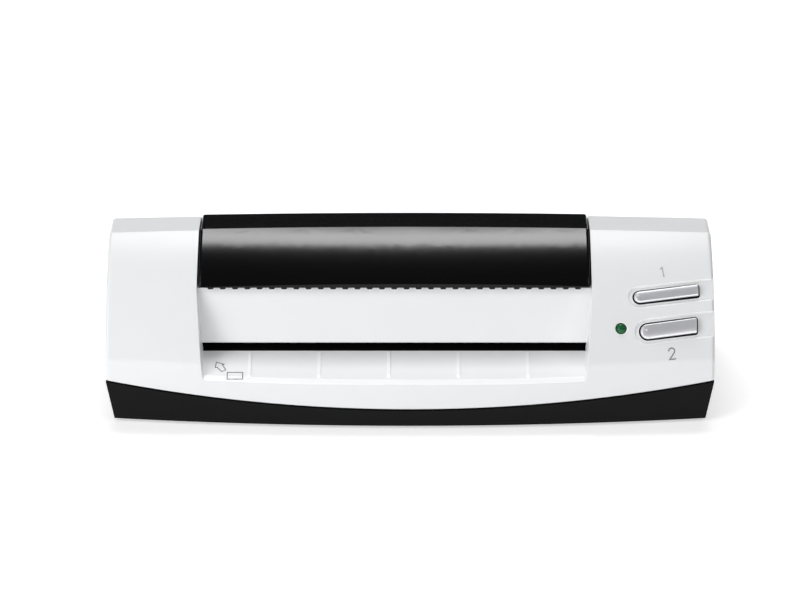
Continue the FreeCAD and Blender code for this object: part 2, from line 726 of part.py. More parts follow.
def gear_train():
    """Feed, idler and exit gears in a row, the two-step gear over the idler, and the motor's pinion."""
    plane = gear_inner_x - gear_width
    feed_phase = 0.0
    idler_phase = mesh_phase(roller_teeth, feed_phase, roller_teeth, 0.0)
    exit_phase = mesh_phase(roller_teeth, idler_phase, roller_teeth, 0.0)
    small_phase = mesh_phase(roller_teeth, idler_phase, pinion_teeth, math.pi / 2)
    pinion_phase = mesh_phase(wheel_teeth, small_phase, pinion_teeth, motor_angle)
    save("feed_gear", gear(roller_teeth, plane, gear_width, feed_y, shaft_z, feed_phase, shaft_r))
    save("exit_gear", gear(roller_teeth, plane, gear_width, exit_y, shaft_z, exit_phase, shaft_r))
    idler = gear(roller_teeth, plane, gear_width, idler_y, shaft_z, idler_phase, stud_r + running)
    hub = rod_x(gear_inner_x, bay_left - 0.3, idler_y, shaft_z, hub_r)
    hub = hub.cut(rod_x(-90, -50, idler_y, shaft_z, stud_r + running))
    save("idler_gear", idler.fuse(hub))
    small = gear(pinion_teeth, plane - 0.2, gear_width + 0.2, idler_y, compound_z, small_phase,
                 stud_r + running)
    wheel = gear(wheel_teeth, wheel_x, wheel_width, idler_y, compound_z, small_phase, stud_r + running)
    neck = rod_x(wheel_x + wheel_width, plane - 0.2, idler_y, compound_z, hub_r)
    neck = neck.cut(rod_x(-90, 0, idler_y, compound_z, stud_r + running))
    save("compound_gear", join([small, wheel, neck]))
    save("motor_pinion", gear(pinion_teeth, wheel_x - 0.3, wheel_width + 0.6, motor_y, motor_z, pinion_phase,
                              motor_shaft_r))


def gear_bracket():
    """A bent steel plate with the gear studs on one side and the motor on the other."""
    outline = [(-3.0, foot_plate_z), (24.0, foot_plate_z), (24.0, 26.0), (21.5, 34.0), (16.0, 39.5),
               (8.0, 39.5), (-3.0, 29.0)]
    plate = prism_x(outline, bracket_x, bracket_x + bracket_thickness)
    corners = [edge for edge in plate.Edges if edge.BoundBox.XLength > 0.5 and edge.BoundBox.ZMin > 6]
    plate = plate.makeFillet(2.0, corners)
    foot = box(bracket_x - 7.0, bracket_x + bracket_thickness, 0.5, 22.5, foot_plate_z,
               foot_plate_z + bracket_thickness)
    bracket = plate.fuse(foot).removeSplitter()
    bracket = bracket.cut(rod_x(-90, -60, motor_y, motor_z, motor_collar_r + 0.1))
    bracket = bracket.cut(rod_x(-90, -60, exit_y, shaft_z, 2 * shaft_r))
    bracket = bracket.cut(rod_x(-90, -60, idler_y, compound_z, stud_r))
    for x, y in bracket_spots:
        bracket = bracket.cut(rod_z(x, y, 4, 7, small_hole_r))
    for y, z in motor_screw_spots():
        bracket = bracket.cut(rod_x(-90, -60, y, z, small_shank_r))
    save("gear_bracket", bracket)


def motor_screw_spots():
    reach = 6.8
    turns = (math.radians(100), math.radians(-70))
    return [(motor_y + reach * math.cos(turn), motor_z + reach * math.sin(turn)) for turn in turns]


def gear_studs():
    """One stud is riveted in the chassis wall, the other in the bracket; each carries one gear."""
    cheek = bay_left + 1.8
    idler = rod_x(gear_inner_x - gear_width - 0.4, cheek + 0.6, idler_y, shaft_z, stud_r)
    idler = idler.fuse(rod_x(cheek, cheek + 0.6, idler_y, shaft_z, 1.8))
    compound = rod_x(bracket_x - 0.5, gear_inner_x + 0.6, idler_y, compound_z, stud_r)
    compound = compound.fuse(rod_x(bracket_x - 0.5, bracket_x, idler_y, compound_z, 1.8))
    save("gear_studs", Part.makeCompound([idler, compound]))


def motor():
    """A small can motor on the bracket, with its shaft, its two screws and the bracket's own screws."""
    face_x = bracket_x
    can = rod_x(face_x - motor_length, face_x, motor_y, motor_z, motor_r)
    rear = [edge for edge in can.Edges if edge.BoundBox.XMax < face_x - motor_length + 0.01]
    can = can.makeChamfer(0.8, rear)
    can = can.fuse(rod_x(face_x, face_x + bracket_thickness, motor_y, motor_z, motor_collar_r))
    can = can.cut(rod_x(face_x - 7.0, face_x + 1, motor_y, motor_z, motor_shaft_r + running))
    for y, z in motor_screw_spots():
        can = can.cut(rod_x(face_x - 2.0, face_x + 1, y, z, 0.8))
    save("motor_can", can)
    shaft_end = wheel_x + wheel_width + 0.8
    save("motor_shaft", rod_x(face_x - 6.5, shaft_end, motor_y, motor_z, motor_shaft_r))
    inwards = V(-1, 0, 0)
    seat = face_x + bracket_thickness
    save("motor_screws", Part.makeCompound(
        [screw(V(seat, y, z), inwards, 2.6, 1.5, 0.5, 0.8) for y, z in motor_screw_spots()]))
    down = V(0, 0, -1)
    seat = foot_plate_z + bracket_thickness
    save("bracket_screws", Part.makeCompound(
        [screw(V(x, y, seat), down, 2.6, 1.8, 1.2, small_shank_r) for x, y in bracket_spots]))


def cover_ear(form, end, way):
    """An end wall of the cover, with the boss that turns on the hinge pin."""
    outline = [(-14.8, 38.6), (-12.6, 34.0), (16.0, 31.0), (hinge_y - 3.0, hinge_z - 3.6),
               (hinge_y, hinge_z - nose_r), (hinge_y + 4.0, hinge_z), (40, 40), (40, 60), (-14.8, 60)]
    x0, x1 = sorted((end, end + way * 1.8))
    b0, b1 = sorted((end, end + way * 3.4))
    wall = prism_x(outline, x0, x1).common(form)
    return wall.fuse(rod_x(b0, b1, hinge_y, hinge_z, 3.9)).removeSplitter()


def cover_form():
    """The cover's outside: the casing's form a little proud of it, cut to the bay, with soft side edges."""
    form = shell_form(-cover_proud, 0.0, 0.0).common(box(cover_left, cover_right, -60, 60, 0, 70))
    sides = [edge for edge in form.Edges if edge.BoundBox.XLength < 0.05 and edge.BoundBox.ZMax > cover_lip_z]
    return form.makeFillet(cover_edge_round, sides)


def top_cover():
    outer = cover_form()
    inner = shell_form(cover_skin - cover_proud, 3.0, -5.0)
    keep = [(cover_lip_y, cover_lip_z), (cover_lip_y, 60), (45, 60), (45, 36.0), (hinge_y, hinge_z),
            (0, cover_lip_z)]
    skin = outer.cut(inner).common(prism_x(keep, cover_left, cover_right))
    nose = rod_x(cover_left, cover_right, hinge_y, hinge_z, nose_r)
    nose = nose.cut(rod_x(cover_left - 1, cover_right + 1, hinge_y, hinge_z, nose_r - cover_skin))
    sweep = [(hinge_y, hinge_z), (hinge_y + 12, hinge_z + 8.5), (hinge_y + 12, hinge_z - 12),
             (hinge_y + 1.5, hinge_z - 12)]
    nose = nose.common(prism_x(sweep, cover_left, cover_right))
    pieces = [skin, nose, cover_ear(outer, cover_left, 1), cover_ear(outer, cover_right, -1)]
    for x, y in liner_screw_spots:
        pieces.append(rod_z(x, y, liner_top, 60, 2.2).common(outer))
    cover = join(pieces + cover_teeth())
    cover = cover.cut(rod_x(-70, 70, hinge_y, hinge_z, hinge_pin_r + running))
    for x, y in liner_screw_spots:
        cover = cover.cut(rod_z(x, y, liner_top - 1, liner_top + 6.0, small_shank_r))
    for end, way in ((cover_left, 1), (cover_right, -1)):
        corner = [(end - way, cover_lip_z - 1.0), (end + way * (1.0 + cover_corner_crop), cover_lip_z - 1.0),
                  (end - way, cover_lip_z + 1.0 + cover_corner_crop)]
        cover = cover.cut(prism_y(corner, cover_lip_y - 1, cover_lip_y + cover_skin))
    save("top_cover", cover.removeSplitter())


def cover_teeth():
    """The row of small teeth under the lip, with cropped corners, which gives the finger a grip."""
    teeth = []
    middle = (cover_left + cover_right) / 2
    half, crop = tooth_width / 2, tooth_drop / 2
    low, high = cover_lip_z - tooth_drop, cover_lip_z + 0.3
    for step in range(tooth_count):
        x = middle + (step - (tooth_count - 1) / 2) * tooth_pitch
        outline = [(x - half, high), (x - half, low + crop), (x - half + crop, low), (x + half - crop, low),
                   (x + half, low + crop), (x + half, high)]
        teeth.append(prism_y(outline, cover_lip_y + 0.1, cover_lip_y + 1.1))
    return teeth


def cover_liner():
    left, right = bay_left + 4.0, bay_right - 4.0
    pieces = [box(left, right, -13.0, 18.0, liner_top - liner_plate, liner_top)]
    for x in liner_rib_xs:
        outline = [(-12.6, liner_top - 1), (-12.6, 24.0), (-11.6, 21.6), (-8.4, 21.6), (-5.0, 24.6),
                   (9.0, 24.6), (12.4, 21.6), (15.6, 21.6), (16.6, 24.0), (16.6, liner_top - 1)]
        pieces.append(prism_x(outline, x - 0.7, x + 0.7))
    liner = join(pieces)
    for y in (feed_y, exit_y):
        liner = liner.cut(rod_x(-70, 70, y, pinch_z, pinch_axle_r + running))
    for x, y in liner_screw_spots:
        liner = liner.cut(rod_z(x, y, 20, 40, 1.0))
    for x in plate_pin_xs:
        liner = liner.cut(rod_z(x, idler_y, 20, 40, 1.5))
    save("cover_liner", liner)
    up = V(0, 0, 1)
    save("cover_screws", Part.makeCompound(
        [screw(V(x, y, liner_top - liner_plate), up, 7.0, 1.7, 1.1, 0.9) for x, y in liner_screw_spots]))


def pinch_set(prefix, y):
    axle = rod_x(liner_rib_xs[0] - 1.6, liner_rib_xs[-1] + 1.6, y, pinch_z, pinch_axle_r)
    save(prefix + "_pinch_axle", axle)
    rollers = []
    for xc in roller_centres:
        drum = rod_x(xc - pinch_length / 2, xc + pinch_length / 2, y, pinch_z, pinch_r)
        drum = drum.makeChamfer(0.4, [edge for edge in drum.Edges if edge.BoundBox.XLength < 0.01])
        rollers.append(drum.cut(rod_x(xc - 10, xc + 10, y, pinch_z, pinch_axle_r)))
    save(prefix + "_pinch_rollers", Part.makeCompound(rollers))


def pinch_springs():
    """Bent strips under the liner that press the pinch axles down beside the outer ribs."""
    springs = []
    high = liner_top - liner_plate - strip_thickness / 2
    low = pinch_z + pinch_axle_r + running + strip_thickness / 2
    for x in (liner_rib_xs[0] + 2.6, liner_rib_xs[-1] - 2.6):
        for y, way in ((feed_y, 1), (exit_y, -1)):
            path = [(y + way * 8.0, high), (y + way * 4.5, high), (y + way * 1.2, low), (y - way * 1.6, low),
                    (y - way * 2.6, low + 0.75)]
            springs.append(ribbon_x(path, strip_thickness, x - 1.4, x + 1.4))
    save("pinch_springs", Part.makeCompound(springs))


def offset_outline(path, thickness):
    """The outline of a strip that follows a bent path, with mitred corners."""
    upper, lower = [], []
    for index, (a, b) in enumerate(path):
        before = path[max(index - 1, 0)]
        after = path[min(index + 1, len(path) - 1)]
        in_way = V(a - before[0], b - before[1], 0)
        out_way = V(after[0] - a, after[1] - b, 0)
        in_way = in_way.normalize() if in_way.Length > 0 else V(out_way).normalize()
        out_way = out_way.normalize() if out_way.Length > 0 else in_way
        mid = (in_way + out_way).normalize()
        across = V(-mid.y, mid.x, 0) * (thickness / 2 / max(mid.dot(in_way), 0.3))
        upper.append((a + across.x, b + across.y))
        lower.append((a - across.x, b - across.y))
    return upper + lower[::-1]


def ribbon_x(path, thickness, x0, x1):
    return prism_x(offset_outline(path, thickness), x0, x1)


def ribbon_y(path, thickness, y0, y1):
    return prism_y(offset_outline(path, thickness), y0, y1)


def pressure_plate():
    """The white backing that holds the card against the sensor's glass, on two guide pins."""
    plate_top, face_z = path_z + 1.8, path_z + 0.45
    outline = [(-3.4, plate_top), (-3.4, 21.2), (-2.4, face_z), (6.4, face_z), (7.4, 21.2), (7.4, plate_top)]
    plate = prism_x(outline, bay_left + 6.0, bay_right - 6.0)
    pins = [rod_z(x, idler_y, plate_top, liner_top + 0.8, 1.2) for x in plate_pin_xs]
    save("pressure_plate", join([plate] + pins))
    high, low = liner_top - liner_plate - strip_thickness / 2, plate_top + strip_thickness / 2
    springs = []
    for x in plate_pin_xs:
        path = [(x - 9, high), (x - 6, high), (x - 1, low), (x + 1, low), (x + 6, high), (x + 9, high)]
        springs.append(ribbon_y(path, strip_thickness, idler_y + 1.6, idler_y + 4.6))
    save("plate_springs", Part.makeCompound(springs))


def image_sensor():
    """The contact sensor across the paper path: housing, glass, lens bar, board, and springs below."""
    middle = (scan_front + scan_back) / 2
    foot, board_foot = 8.0, 7.0
    ledge, glass_top, housing_top = 17.7, 19.7, 18.7
    left, right = scan_left + 1.5, scan_right - 1.5
    front, back = scan_front + 1.2, scan_back - 1.2
    slot_left, slot_right = scan_left + 2.5, scan_right - 2.5
    housing = box(scan_left, scan_right, scan_front, scan_back, foot, housing_top)
    housing = housing.cut(box(left, right, front, back, ledge, housing_top + 1))
    housing = housing.cut(box(slot_left, slot_right, middle - 1.2, middle + 1.2, foot - 1, ledge + 1))
    save("sensor_housing", housing)
    save("sensor_glass", box(left, right, front, back, ledge, glass_top))
    save("sensor_lens_bar", box(slot_left, slot_right, middle - 1.15, middle + 1.15, foot + 2, ledge - 0.1))
    save("sensor_board", box(scan_left, scan_right, scan_front + 0.5, scan_back - 0.5, board_foot, foot))
    low, high = floor_top + strip_thickness / 2, board_foot - strip_thickness / 2
    springs = []
    for x in (roller_centres[0], roller_centres[2]):
        path = [(x - 9, low), (x - 5, low), (x - 2, high), (x + 2, high), (x + 5, low), (x + 9, low)]
        springs.append(ribbon_y(path, strip_thickness, middle - 2.5, middle + 2.5))
    save("sensor_springs", Part.makeCompound(springs))


def paper_flag():
    """The lever that the card's edge pushes; its lower blade leaves the light gate."""
    hub = rod_x(flag_x - 1.4, flag_x + 1.4, flag_y, flag_z, 1.5)
    finger = prism_x([(flag_y - 0.6, flag_z), (flag_y - 0.45, path_z + 1.7), (flag_y + 0.45, path_z + 1.7),
                      (flag_y + 0.6, flag_z)], flag_x - 1.0, flag_x + 1.0)
    blade = prism_x([(flag_y - 0.8, flag_z), (flag_y - 1.4, 8.6), (flag_y + 1.4, 8.6), (flag_y + 0.8, flag_z)],
                    flag_x - 0.4, flag_x + 0.4)
    flag = join([hub, finger, blade]).cut(rod_x(-70, 70, flag_y, flag_z, flag_pin_r + running))
    save("paper_flag", flag)
    save("flag_pin", rod_x(flag_x - 3.2, flag_x + 3.2, flag_y, flag_z, flag_pin_r))
    gate_board_top = gate_board_z + gate_board_thickness
    gate = box(flag_x - 3.2, flag_x + 3.2, flag_y - 2.0, flag_y + 2.0, gate_board_top, 11.0)
    gate = gate.cut(box(flag_x - 1.0, flag_x + 1.0, flag_y - 4, flag_y + 4, 7.4, 12.0))
    save("light_gate", gate)
    board = box(6.0, 21.0, -19.0, -10.0, gate_board_z, gate_board_top)
    for x, y in gate_board_spots:
        board = board.cut(rod_z(x, y, 3, 6, small_shank_r))
    save("gate_board", board)
    down = V(0, 0, -1)
    save("gate_board_screws", Part.makeCompound(
        [screw(V(x, y, gate_board_top), down, 1.8, 1.6, 1.0, small_shank_r) for x, y in gate_board_spots]))


def main_board():
    """The board under the right pod, the parts on it, and the data and power socket at the back."""
    top = main_board_z + board_thickness
    board = box(57.6, 77.8, -14.0, 28.3, main_board_z, top)
    for x, y in main_board_spots:
        board = board.cut(rod_z(x, y, 4, 7, small_shank_r))
    save("main_board", board)
    processor = box(63.0, 73.0, 2.0, 12.0, top, top + 1.4)
    memory = box(64.0, 70.0, 14.5, 19.0, top, top + 1.2)
    coil = box(73.5, 77.0, 14.5, 17.5, top, top + 2.0)
    driver = box(60.0, 66.0, -6.0, -2.0, top, top + 1.8)
    capacitor = box(69.5, 77.0, -8.5, -4.5, top, top + 3.0)
    save("main_board_parts", Part.makeCompound([processor, memory, coil, driver, capacitor]))
    case = box(socket_x - 3.9, socket_x + 3.9, 22.4, 31.2, top, top + 4.1)
    case = case.makeFillet(0.6, [edge for edge in case.Edges if edge.BoundBox.YLength > 5])
    mouth = box(socket_x - 3.4, socket_x + 3.4, 24.4, 32.0, top + 0.5, top + 3.6)
    tongue = box(socket_x - 2.4, socket_x + 2.4, 24.0, 30.4, top + 1.7, top + 2.5)
    save("usb_socket", case.cut(mouth.cut(tongue)))
    down = V(0, 0, -1)
    save("board_screws", Part.makeCompound(
        [screw(V(x, y, top), down, 2.6, 1.7, 1.1, small_shank_r) for x, y in main_board_spots]))


def cables():
    """Flat cables between the boards, the sensor and the motor."""
    sensor = [(47.0, 6.8), (51.0, 4.0), (56.0, 4.0), (57.4, 6.0), (60.0, 7.0), (62.5, 7.0)]
    save("sensor_cable", ribbon_y(sensor, strip_thickness, -1.5, 6.5))
    low = floor_top + 0.4
    motor_path = [(-80.0, 21.5), (-80.0, 4.5), (-78.5, low), (-40.0, low), (45.0, low), (56.8, low)]
    save("motor_cable", ribbon_y(motor_path, strip_thickness, 9.5, 13.0))


def hinge_pins():
    pins = []
    for edge, way in ((bay_left, -1), (bay_right, 1)):
        start = V(edge - way * 3.5, hinge_y, hinge_z)
        pins.append(Part.makeCylinder(hinge_pin_r, rib + 4.0, start, V(way, 0, 0)))
    save("hinge_pins", Part.makeCompound(pins))


def build():
    os.makedirs("parts", exist_ok=True)
    base_tray()
    upper_casing()
    top_cover()
    cover_liner()
    hinge_pins()
    pinch_set("front", feed_y)
    pinch_set("rear", exit_y)
    pinch_springs()
    pressure_plate()
    key("upper_key", upper_key_at, upper_key_size)
    key("lower_key", lower_key_at, lower_key_size)
    key_switches()
    key_board()
    key_board_screws()
    status_lamp()
    chassis()
    chassis_screws()
    case_screws()
    rubber_feet()
    shaft_bushes()
    roller_set("feed", feed_y)
    roller_set("exit", exit_y)
    gear_train()
    gear_bracket()
    gear_studs()
    motor()
    image_sensor()
    paper_flag()
    main_board()
    cables()


build()
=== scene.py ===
import json
import math

import bmesh
import bpy
import numpy as np
from bpy.props import FloatProperty, FloatVectorProperty, IntProperty, PointerProperty
from bpy.types import Operator, Panel, PropertyGroup
from mathutils import Matrix, Vector


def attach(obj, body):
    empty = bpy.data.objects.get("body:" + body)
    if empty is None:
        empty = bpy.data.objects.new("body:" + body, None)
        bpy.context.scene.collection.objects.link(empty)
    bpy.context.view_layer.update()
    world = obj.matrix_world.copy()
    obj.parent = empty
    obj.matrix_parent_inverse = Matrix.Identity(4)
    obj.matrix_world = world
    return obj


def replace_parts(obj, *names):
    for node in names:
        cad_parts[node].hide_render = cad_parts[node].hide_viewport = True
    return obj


bl_info = {
    "name": "Card Scanner",
    "version": (1, 0, 0),
    "blender": (4, 5, 0),
    "location": "3D View > Sidebar > Card Scanner",
    "description": "Finishes a portable card scanner: its mouldings, keys, screws, boards and studio",
    "category": "Add Mesh",
}

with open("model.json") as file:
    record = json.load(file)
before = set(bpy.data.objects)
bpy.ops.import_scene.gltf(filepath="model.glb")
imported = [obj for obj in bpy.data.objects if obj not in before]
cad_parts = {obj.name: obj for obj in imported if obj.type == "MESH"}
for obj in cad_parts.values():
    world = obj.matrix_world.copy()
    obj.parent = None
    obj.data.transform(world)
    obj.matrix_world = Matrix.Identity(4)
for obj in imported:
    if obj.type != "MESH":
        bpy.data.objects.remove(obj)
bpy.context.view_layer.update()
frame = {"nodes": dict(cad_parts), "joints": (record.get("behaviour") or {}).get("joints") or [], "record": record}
mm = 0.001

# The CAD nodes that hold screws, and the way each one's shank points
board_slope = math.radians(50.0)
screw_ways = {
    "case_screws": (0, 0, 1),
    "cover_screws": (0, 0, 1),
    "chassis_screws": (0, 0, -1),
    "bracket_screws": (0, 0, -1),
    "board_screws": (0, 0, -1),
    "gate_board_screws": (0, 0, -1),
    "motor_screws": (-1, 0, 0),
    "key_board_screws": (0, -math.sin(board_slope), math.cos(board_slope)),
}

# Places on the casing, as x and y in millimetres; its surface gives the height
upper_numeral_at = (72.4, -13.4)
lower_numeral_at = (74.6, -28.8)
arrow_corners = (
    (-55.4, -25.3), (-53.2, -26.1), (-53.7, -26.3), (-52.6, -28.3), (-53.75, -29.0), (-55.1, -27.3),
    (-55.65, -27.4))
card_mark_at = (-52.0, -28.0)
card_corners = ((-52.1, -29.3), (-47.7, -29.3), (-47.7, -31.8), (-52.1, -31.8))

# The plain numerals as lines in a box 1 high, from -0.5 to 0.5
numeral_one = ((-0.17, 0.3), (0.03, 0.5), (0.03, -0.5))
numeral_two = (
    (-0.27, 0.24), (-0.24, 0.36), (-0.14, 0.46), (0.0, 0.5), (0.15, 0.46), (0.25, 0.36), (0.27, 0.23),
    (0.22, 0.08), (-0.28, -0.5), (0.3, -0.5))

# The entry bed's height is its level where y is 0 plus its slope times y. What stands higher than that by
# rib_start is a rib
bed_slope, bed_level, rib_start = 0.325, 25.92 * mm, 0.08 * mm

# Where the casing's finish changes: the ends of the bay, the bed's lowest and highest points and its back,
# the back of the lip, and the left end of the part with the keys
bay_left, bay_right = -58.8 * mm, 49.8 * mm
bed_low, bed_high, bed_back = 15.4 * mm, 19.6 * mm, -20.0 * mm
lip_back = -29.0 * mm
keys_left = 56.0 * mm

# The keys: the angle at which they rise to the right, how deep under the face a point still belongs to the
# cap, how deep the flange and the stem start, the flange's thickness and the stem's radius
key_tilt = math.radians(7.6)
cap_depth, flange_depth, stem_depth = 1.2 * mm, 3.9 * mm, 4.5 * mm
flange_thick, stem_radius = 0.9 * mm, 1.5 * mm

# Moulded plastic: the size and depth of its spark-eroded grain, and the size of the patches that drift
grain_size, grain_depth, patch_size = 0.35 * mm, 0.004 * mm, 14 * mm

# Chips longer than big_chip have legs on four sides, and others thinner than flat_chip on two. Then the pitch
# of the legs of each kind
big_chip, flat_chip = 9 * mm, 1.9 * mm
fine_pitch, coarse_pitch = 0.8 * mm, 1.27 * mm

# Each lamp, its setting, its width and height, the way from the scanner to it, and how far off it stands
lamps = (
    ("top_strip", "top_power", (0.36, 0.14), (0, 0.29, 0.96), 0.7),
    ("back_lamp", "back_power", (1.2, 0.4), (0, 0.75, 0.7), 1.0),
    ("front_lamp", "front_power", (1.6, 0.28), (0, -1.0, 0.12), 1.2),
    ("left_lamp", "left_power", (0.6, 0.6), (-0.75, -0.65, 0.3), 1.2),
    ("high_left_lamp", "high_left_power", (0.6, 0.6), (-0.6, -0.4, 0.75), 1.2),
    ("high_right_lamp", "high_right_power", (0.6, 0.6), (0.6, -0.4, 0.75), 1.2),
)


def darker(colour, share):
    """A colour with each channel multiplied by share, which lightens it where share is over 1."""
    return tuple(channel * share for channel in colour)


def slot_colour(slot):
    """The colour that the record gives a material slot."""
    for entry in frame["record"]["materials"]:
        if entry["slot"] == slot:
            return tuple(entry["base_color"][:3])
    raise ValueError("no material slot named " + slot)


def tint_property(name, what, tint):
    """A setting that is a colour."""
    return FloatVectorProperty(
        name=name, description=what, subtype="COLOR", size=3, min=0.0, max=1.0, default=tint)


def colour_property(slot, what, share=1.0):
    """A setting whose default is the record's colour of a slot, or a darker or lighter share of it."""
    return tint_property(what.capitalize(), "Colour of " + what, darker(slot_colour(slot), share))


def size_property(name, what, size):
    """A setting that is a length."""
    return FloatProperty(name=name, description=what, default=size, unit="LENGTH")


def share_property(name, what, share):
    """A setting from 0 to 1."""
    return FloatProperty(name=name, description=what, default=share, min=0.0, max=1.0)


def lamp_property(name, power):
    """A setting that is the power of a lamp."""
    return FloatProperty(name=name, description="Power of the " + name.lower(), default=power, unit="POWER")


class ScannerFinish(PropertyGroup):
    """Colours and gloss of the mouldings and printed marks."""

    shell_colour: colour_property("white_shell", "the white upper casing")
    base_colour: colour_property("black_base", "the black base tray", 0.18)
    cover_colour: colour_property("black_gloss", "the glossy black cover", 0.3)
    key_colour: colour_property("silver_key", "the silver keys", 1.08)
    lamp_colour: colour_property("green_lamp", "the green lamp", 0.45)
    upper_label_colour: tint_property(
        "Upper label", "Colour of the numeral over the upper key", (0.42, 0.42, 0.42))
    lower_label_colour: tint_property(
        "Lower label", "Colour of the numeral under the lower key", (0.2, 0.2, 0.21))
    mark_colour: tint_property(
        "Card mark", "Colour of the card and arrow on the entry slope", (0.12, 0.12, 0.12))
    shell_roughness: share_property("Shell roughness", "Roughness of the white casing", 0.34)
    cover_roughness: share_property("Cover roughness", "Roughness of the black cover", 0.16)
    base_roughness: share_property("Base roughness", "Roughness of the black base", 0.5)
    base_shine: share_property("Base shine", "Strength of the reflection in the black base", 0.05)
    # These radii give the edges their rounded look and also set how wide the painted edge highlight reaches. The
    # gap setting below says how near walls must be for the painted shade in gaps
    edge_round: size_property("Edge rounding", "Radius by which the casing's edges look rounded", 0.3 * mm)
    groove_round: size_property(
        "Groove rounding", "How much more the edges of the key grooves look rounded", 0.4 * mm)
    gap_shade_reach: size_property(
        "Gap reach", "How near the walls of a gap must be for it to fall into the dark", 1.0 * mm)


class ScannerDetail(PropertyGroup):
    """Sizes of the small pieces."""

    label_height: size_property("Numeral height", "Height of the printed numerals", 3.2 * mm)
    print_height: size_property("Print height", "How far printed marks stand above the plastic", 0.03 * mm)
    outline_width: size_property("Outline width", "Width of the lines of the card and arrow mark", 0.23 * mm)
    stroke_width: size_property("Stroke width", "Width of the lines of the numerals", 0.34 * mm)
    key_corner: size_property("Key corner", "Radius of the corners at a key's right end", 0.45 * mm)
    key_flange: size_property("Key flange", "How far the flange reaches out under the casing", 0.75 * mm)
    dot_radius: size_property("Dot radius", "Radius of the dot that the finger feels on a key", 0.36 * mm)
    key_gap: size_property(
        "Key gap", "How much smaller than its space a key's painted cap is all round", 0.12 * mm)
    key_bevel: size_property("Key bevel", "Radius of the rounded edge of a key's face", 0.45 * mm)
    key_crown: size_property("Key crown", "Rise of a key's face towards its middle", 0.4 * mm)
    slot_share: FloatProperty(
        name="Slot width", default=0.14, min=0.05, max=0.3,
        description="Half the width of a screw's cross slot as a share of the head's radius")
    thread_pitch: size_property("Thread pitch", "Distance between the turns of a screw thread", 0.7 * mm)
    ring_steps: IntProperty(
        name="Ring steps", description="Points round a turned piece", default=48, min=12, max=128)


class ScannerStudio(PropertyGroup):
    """The camera and the lamps."""

    elevation: FloatProperty(
        name="Elevation", description="Angle of the camera over the floor", default=math.radians(25.0),
        subtype="ANGLE")
    distance: size_property("Distance", "From the camera to the point it looks at", 1.0)
    aim_height: size_property("Aim height", "Height of the point that the camera looks at", 22 * mm)
    lens: FloatProperty(
        name="Lens", description="Focal length in millimetres on a 36 mm wide sensor", default=153.9)
    shift_right: FloatProperty(
        name="Shift right", description="How far the picture is moved, in picture widths", default=-0.0125)
    shift_up: FloatProperty(
        name="Shift up", description="How far the picture is moved up, in picture widths", default=0.014075)
    top_power: lamp_property("Top strip", 1.68)
    back_power: lamp_property("Back lamp", 3.5)
    front_power: lamp_property("Low front lamp", 4.4)
    left_power: lamp_property("Left lamp", 5.3)
    high_left_power: lamp_property("High left lamp", 3.1)
    high_right_power: lamp_property("High right lamp", 2.1)
    floor_colour: tint_property("Floor colour", "Colour of the floor", (0.85, 0.85, 0.85))
    world_light: share_property("World light", "Light that comes from all round", 0.02)
    floor_sheen: FloatProperty(
        name="Floor sheen", default=1.5,
        description="Strength of the white floor as glossy surfaces mirror it")
    floor_glow: share_property(
        "Floor glow", "White that the camera sees on the floor besides its own colour", 0.5)


class Signal:
    """What comes out of a node's socket. Arithmetic between signals and numbers adds Math nodes."""

    def __init__(self, paint, socket):
        self.paint = paint
        self.socket = socket

    def __add__(self, other):
        return self.paint.maths("ADD", self, other)

    def __radd__(self, other):
        return self.paint.maths("ADD", other, self)

    def __sub__(self, other):
        return self.paint.maths("SUBTRACT", self, other)

    def __rsub__(self, other):
        return self.paint.maths("SUBTRACT", other, self)

    def __mul__(self, other):
        return self.paint.maths("MULTIPLY", self, other)

    def __rmul__(self, other):
        return self.paint.maths("MULTIPLY", other, self)

    def __gt__(self, other):
        return self.paint.maths("GREATER_THAN", self, other)

    def __lt__(self, other):
        return self.paint.maths("LESS_THAN", self, other)

    def clamp(self):
        """The signal held between 0 and 1."""
        return self.paint.node("ShaderNodeClamp", None, {0: self})


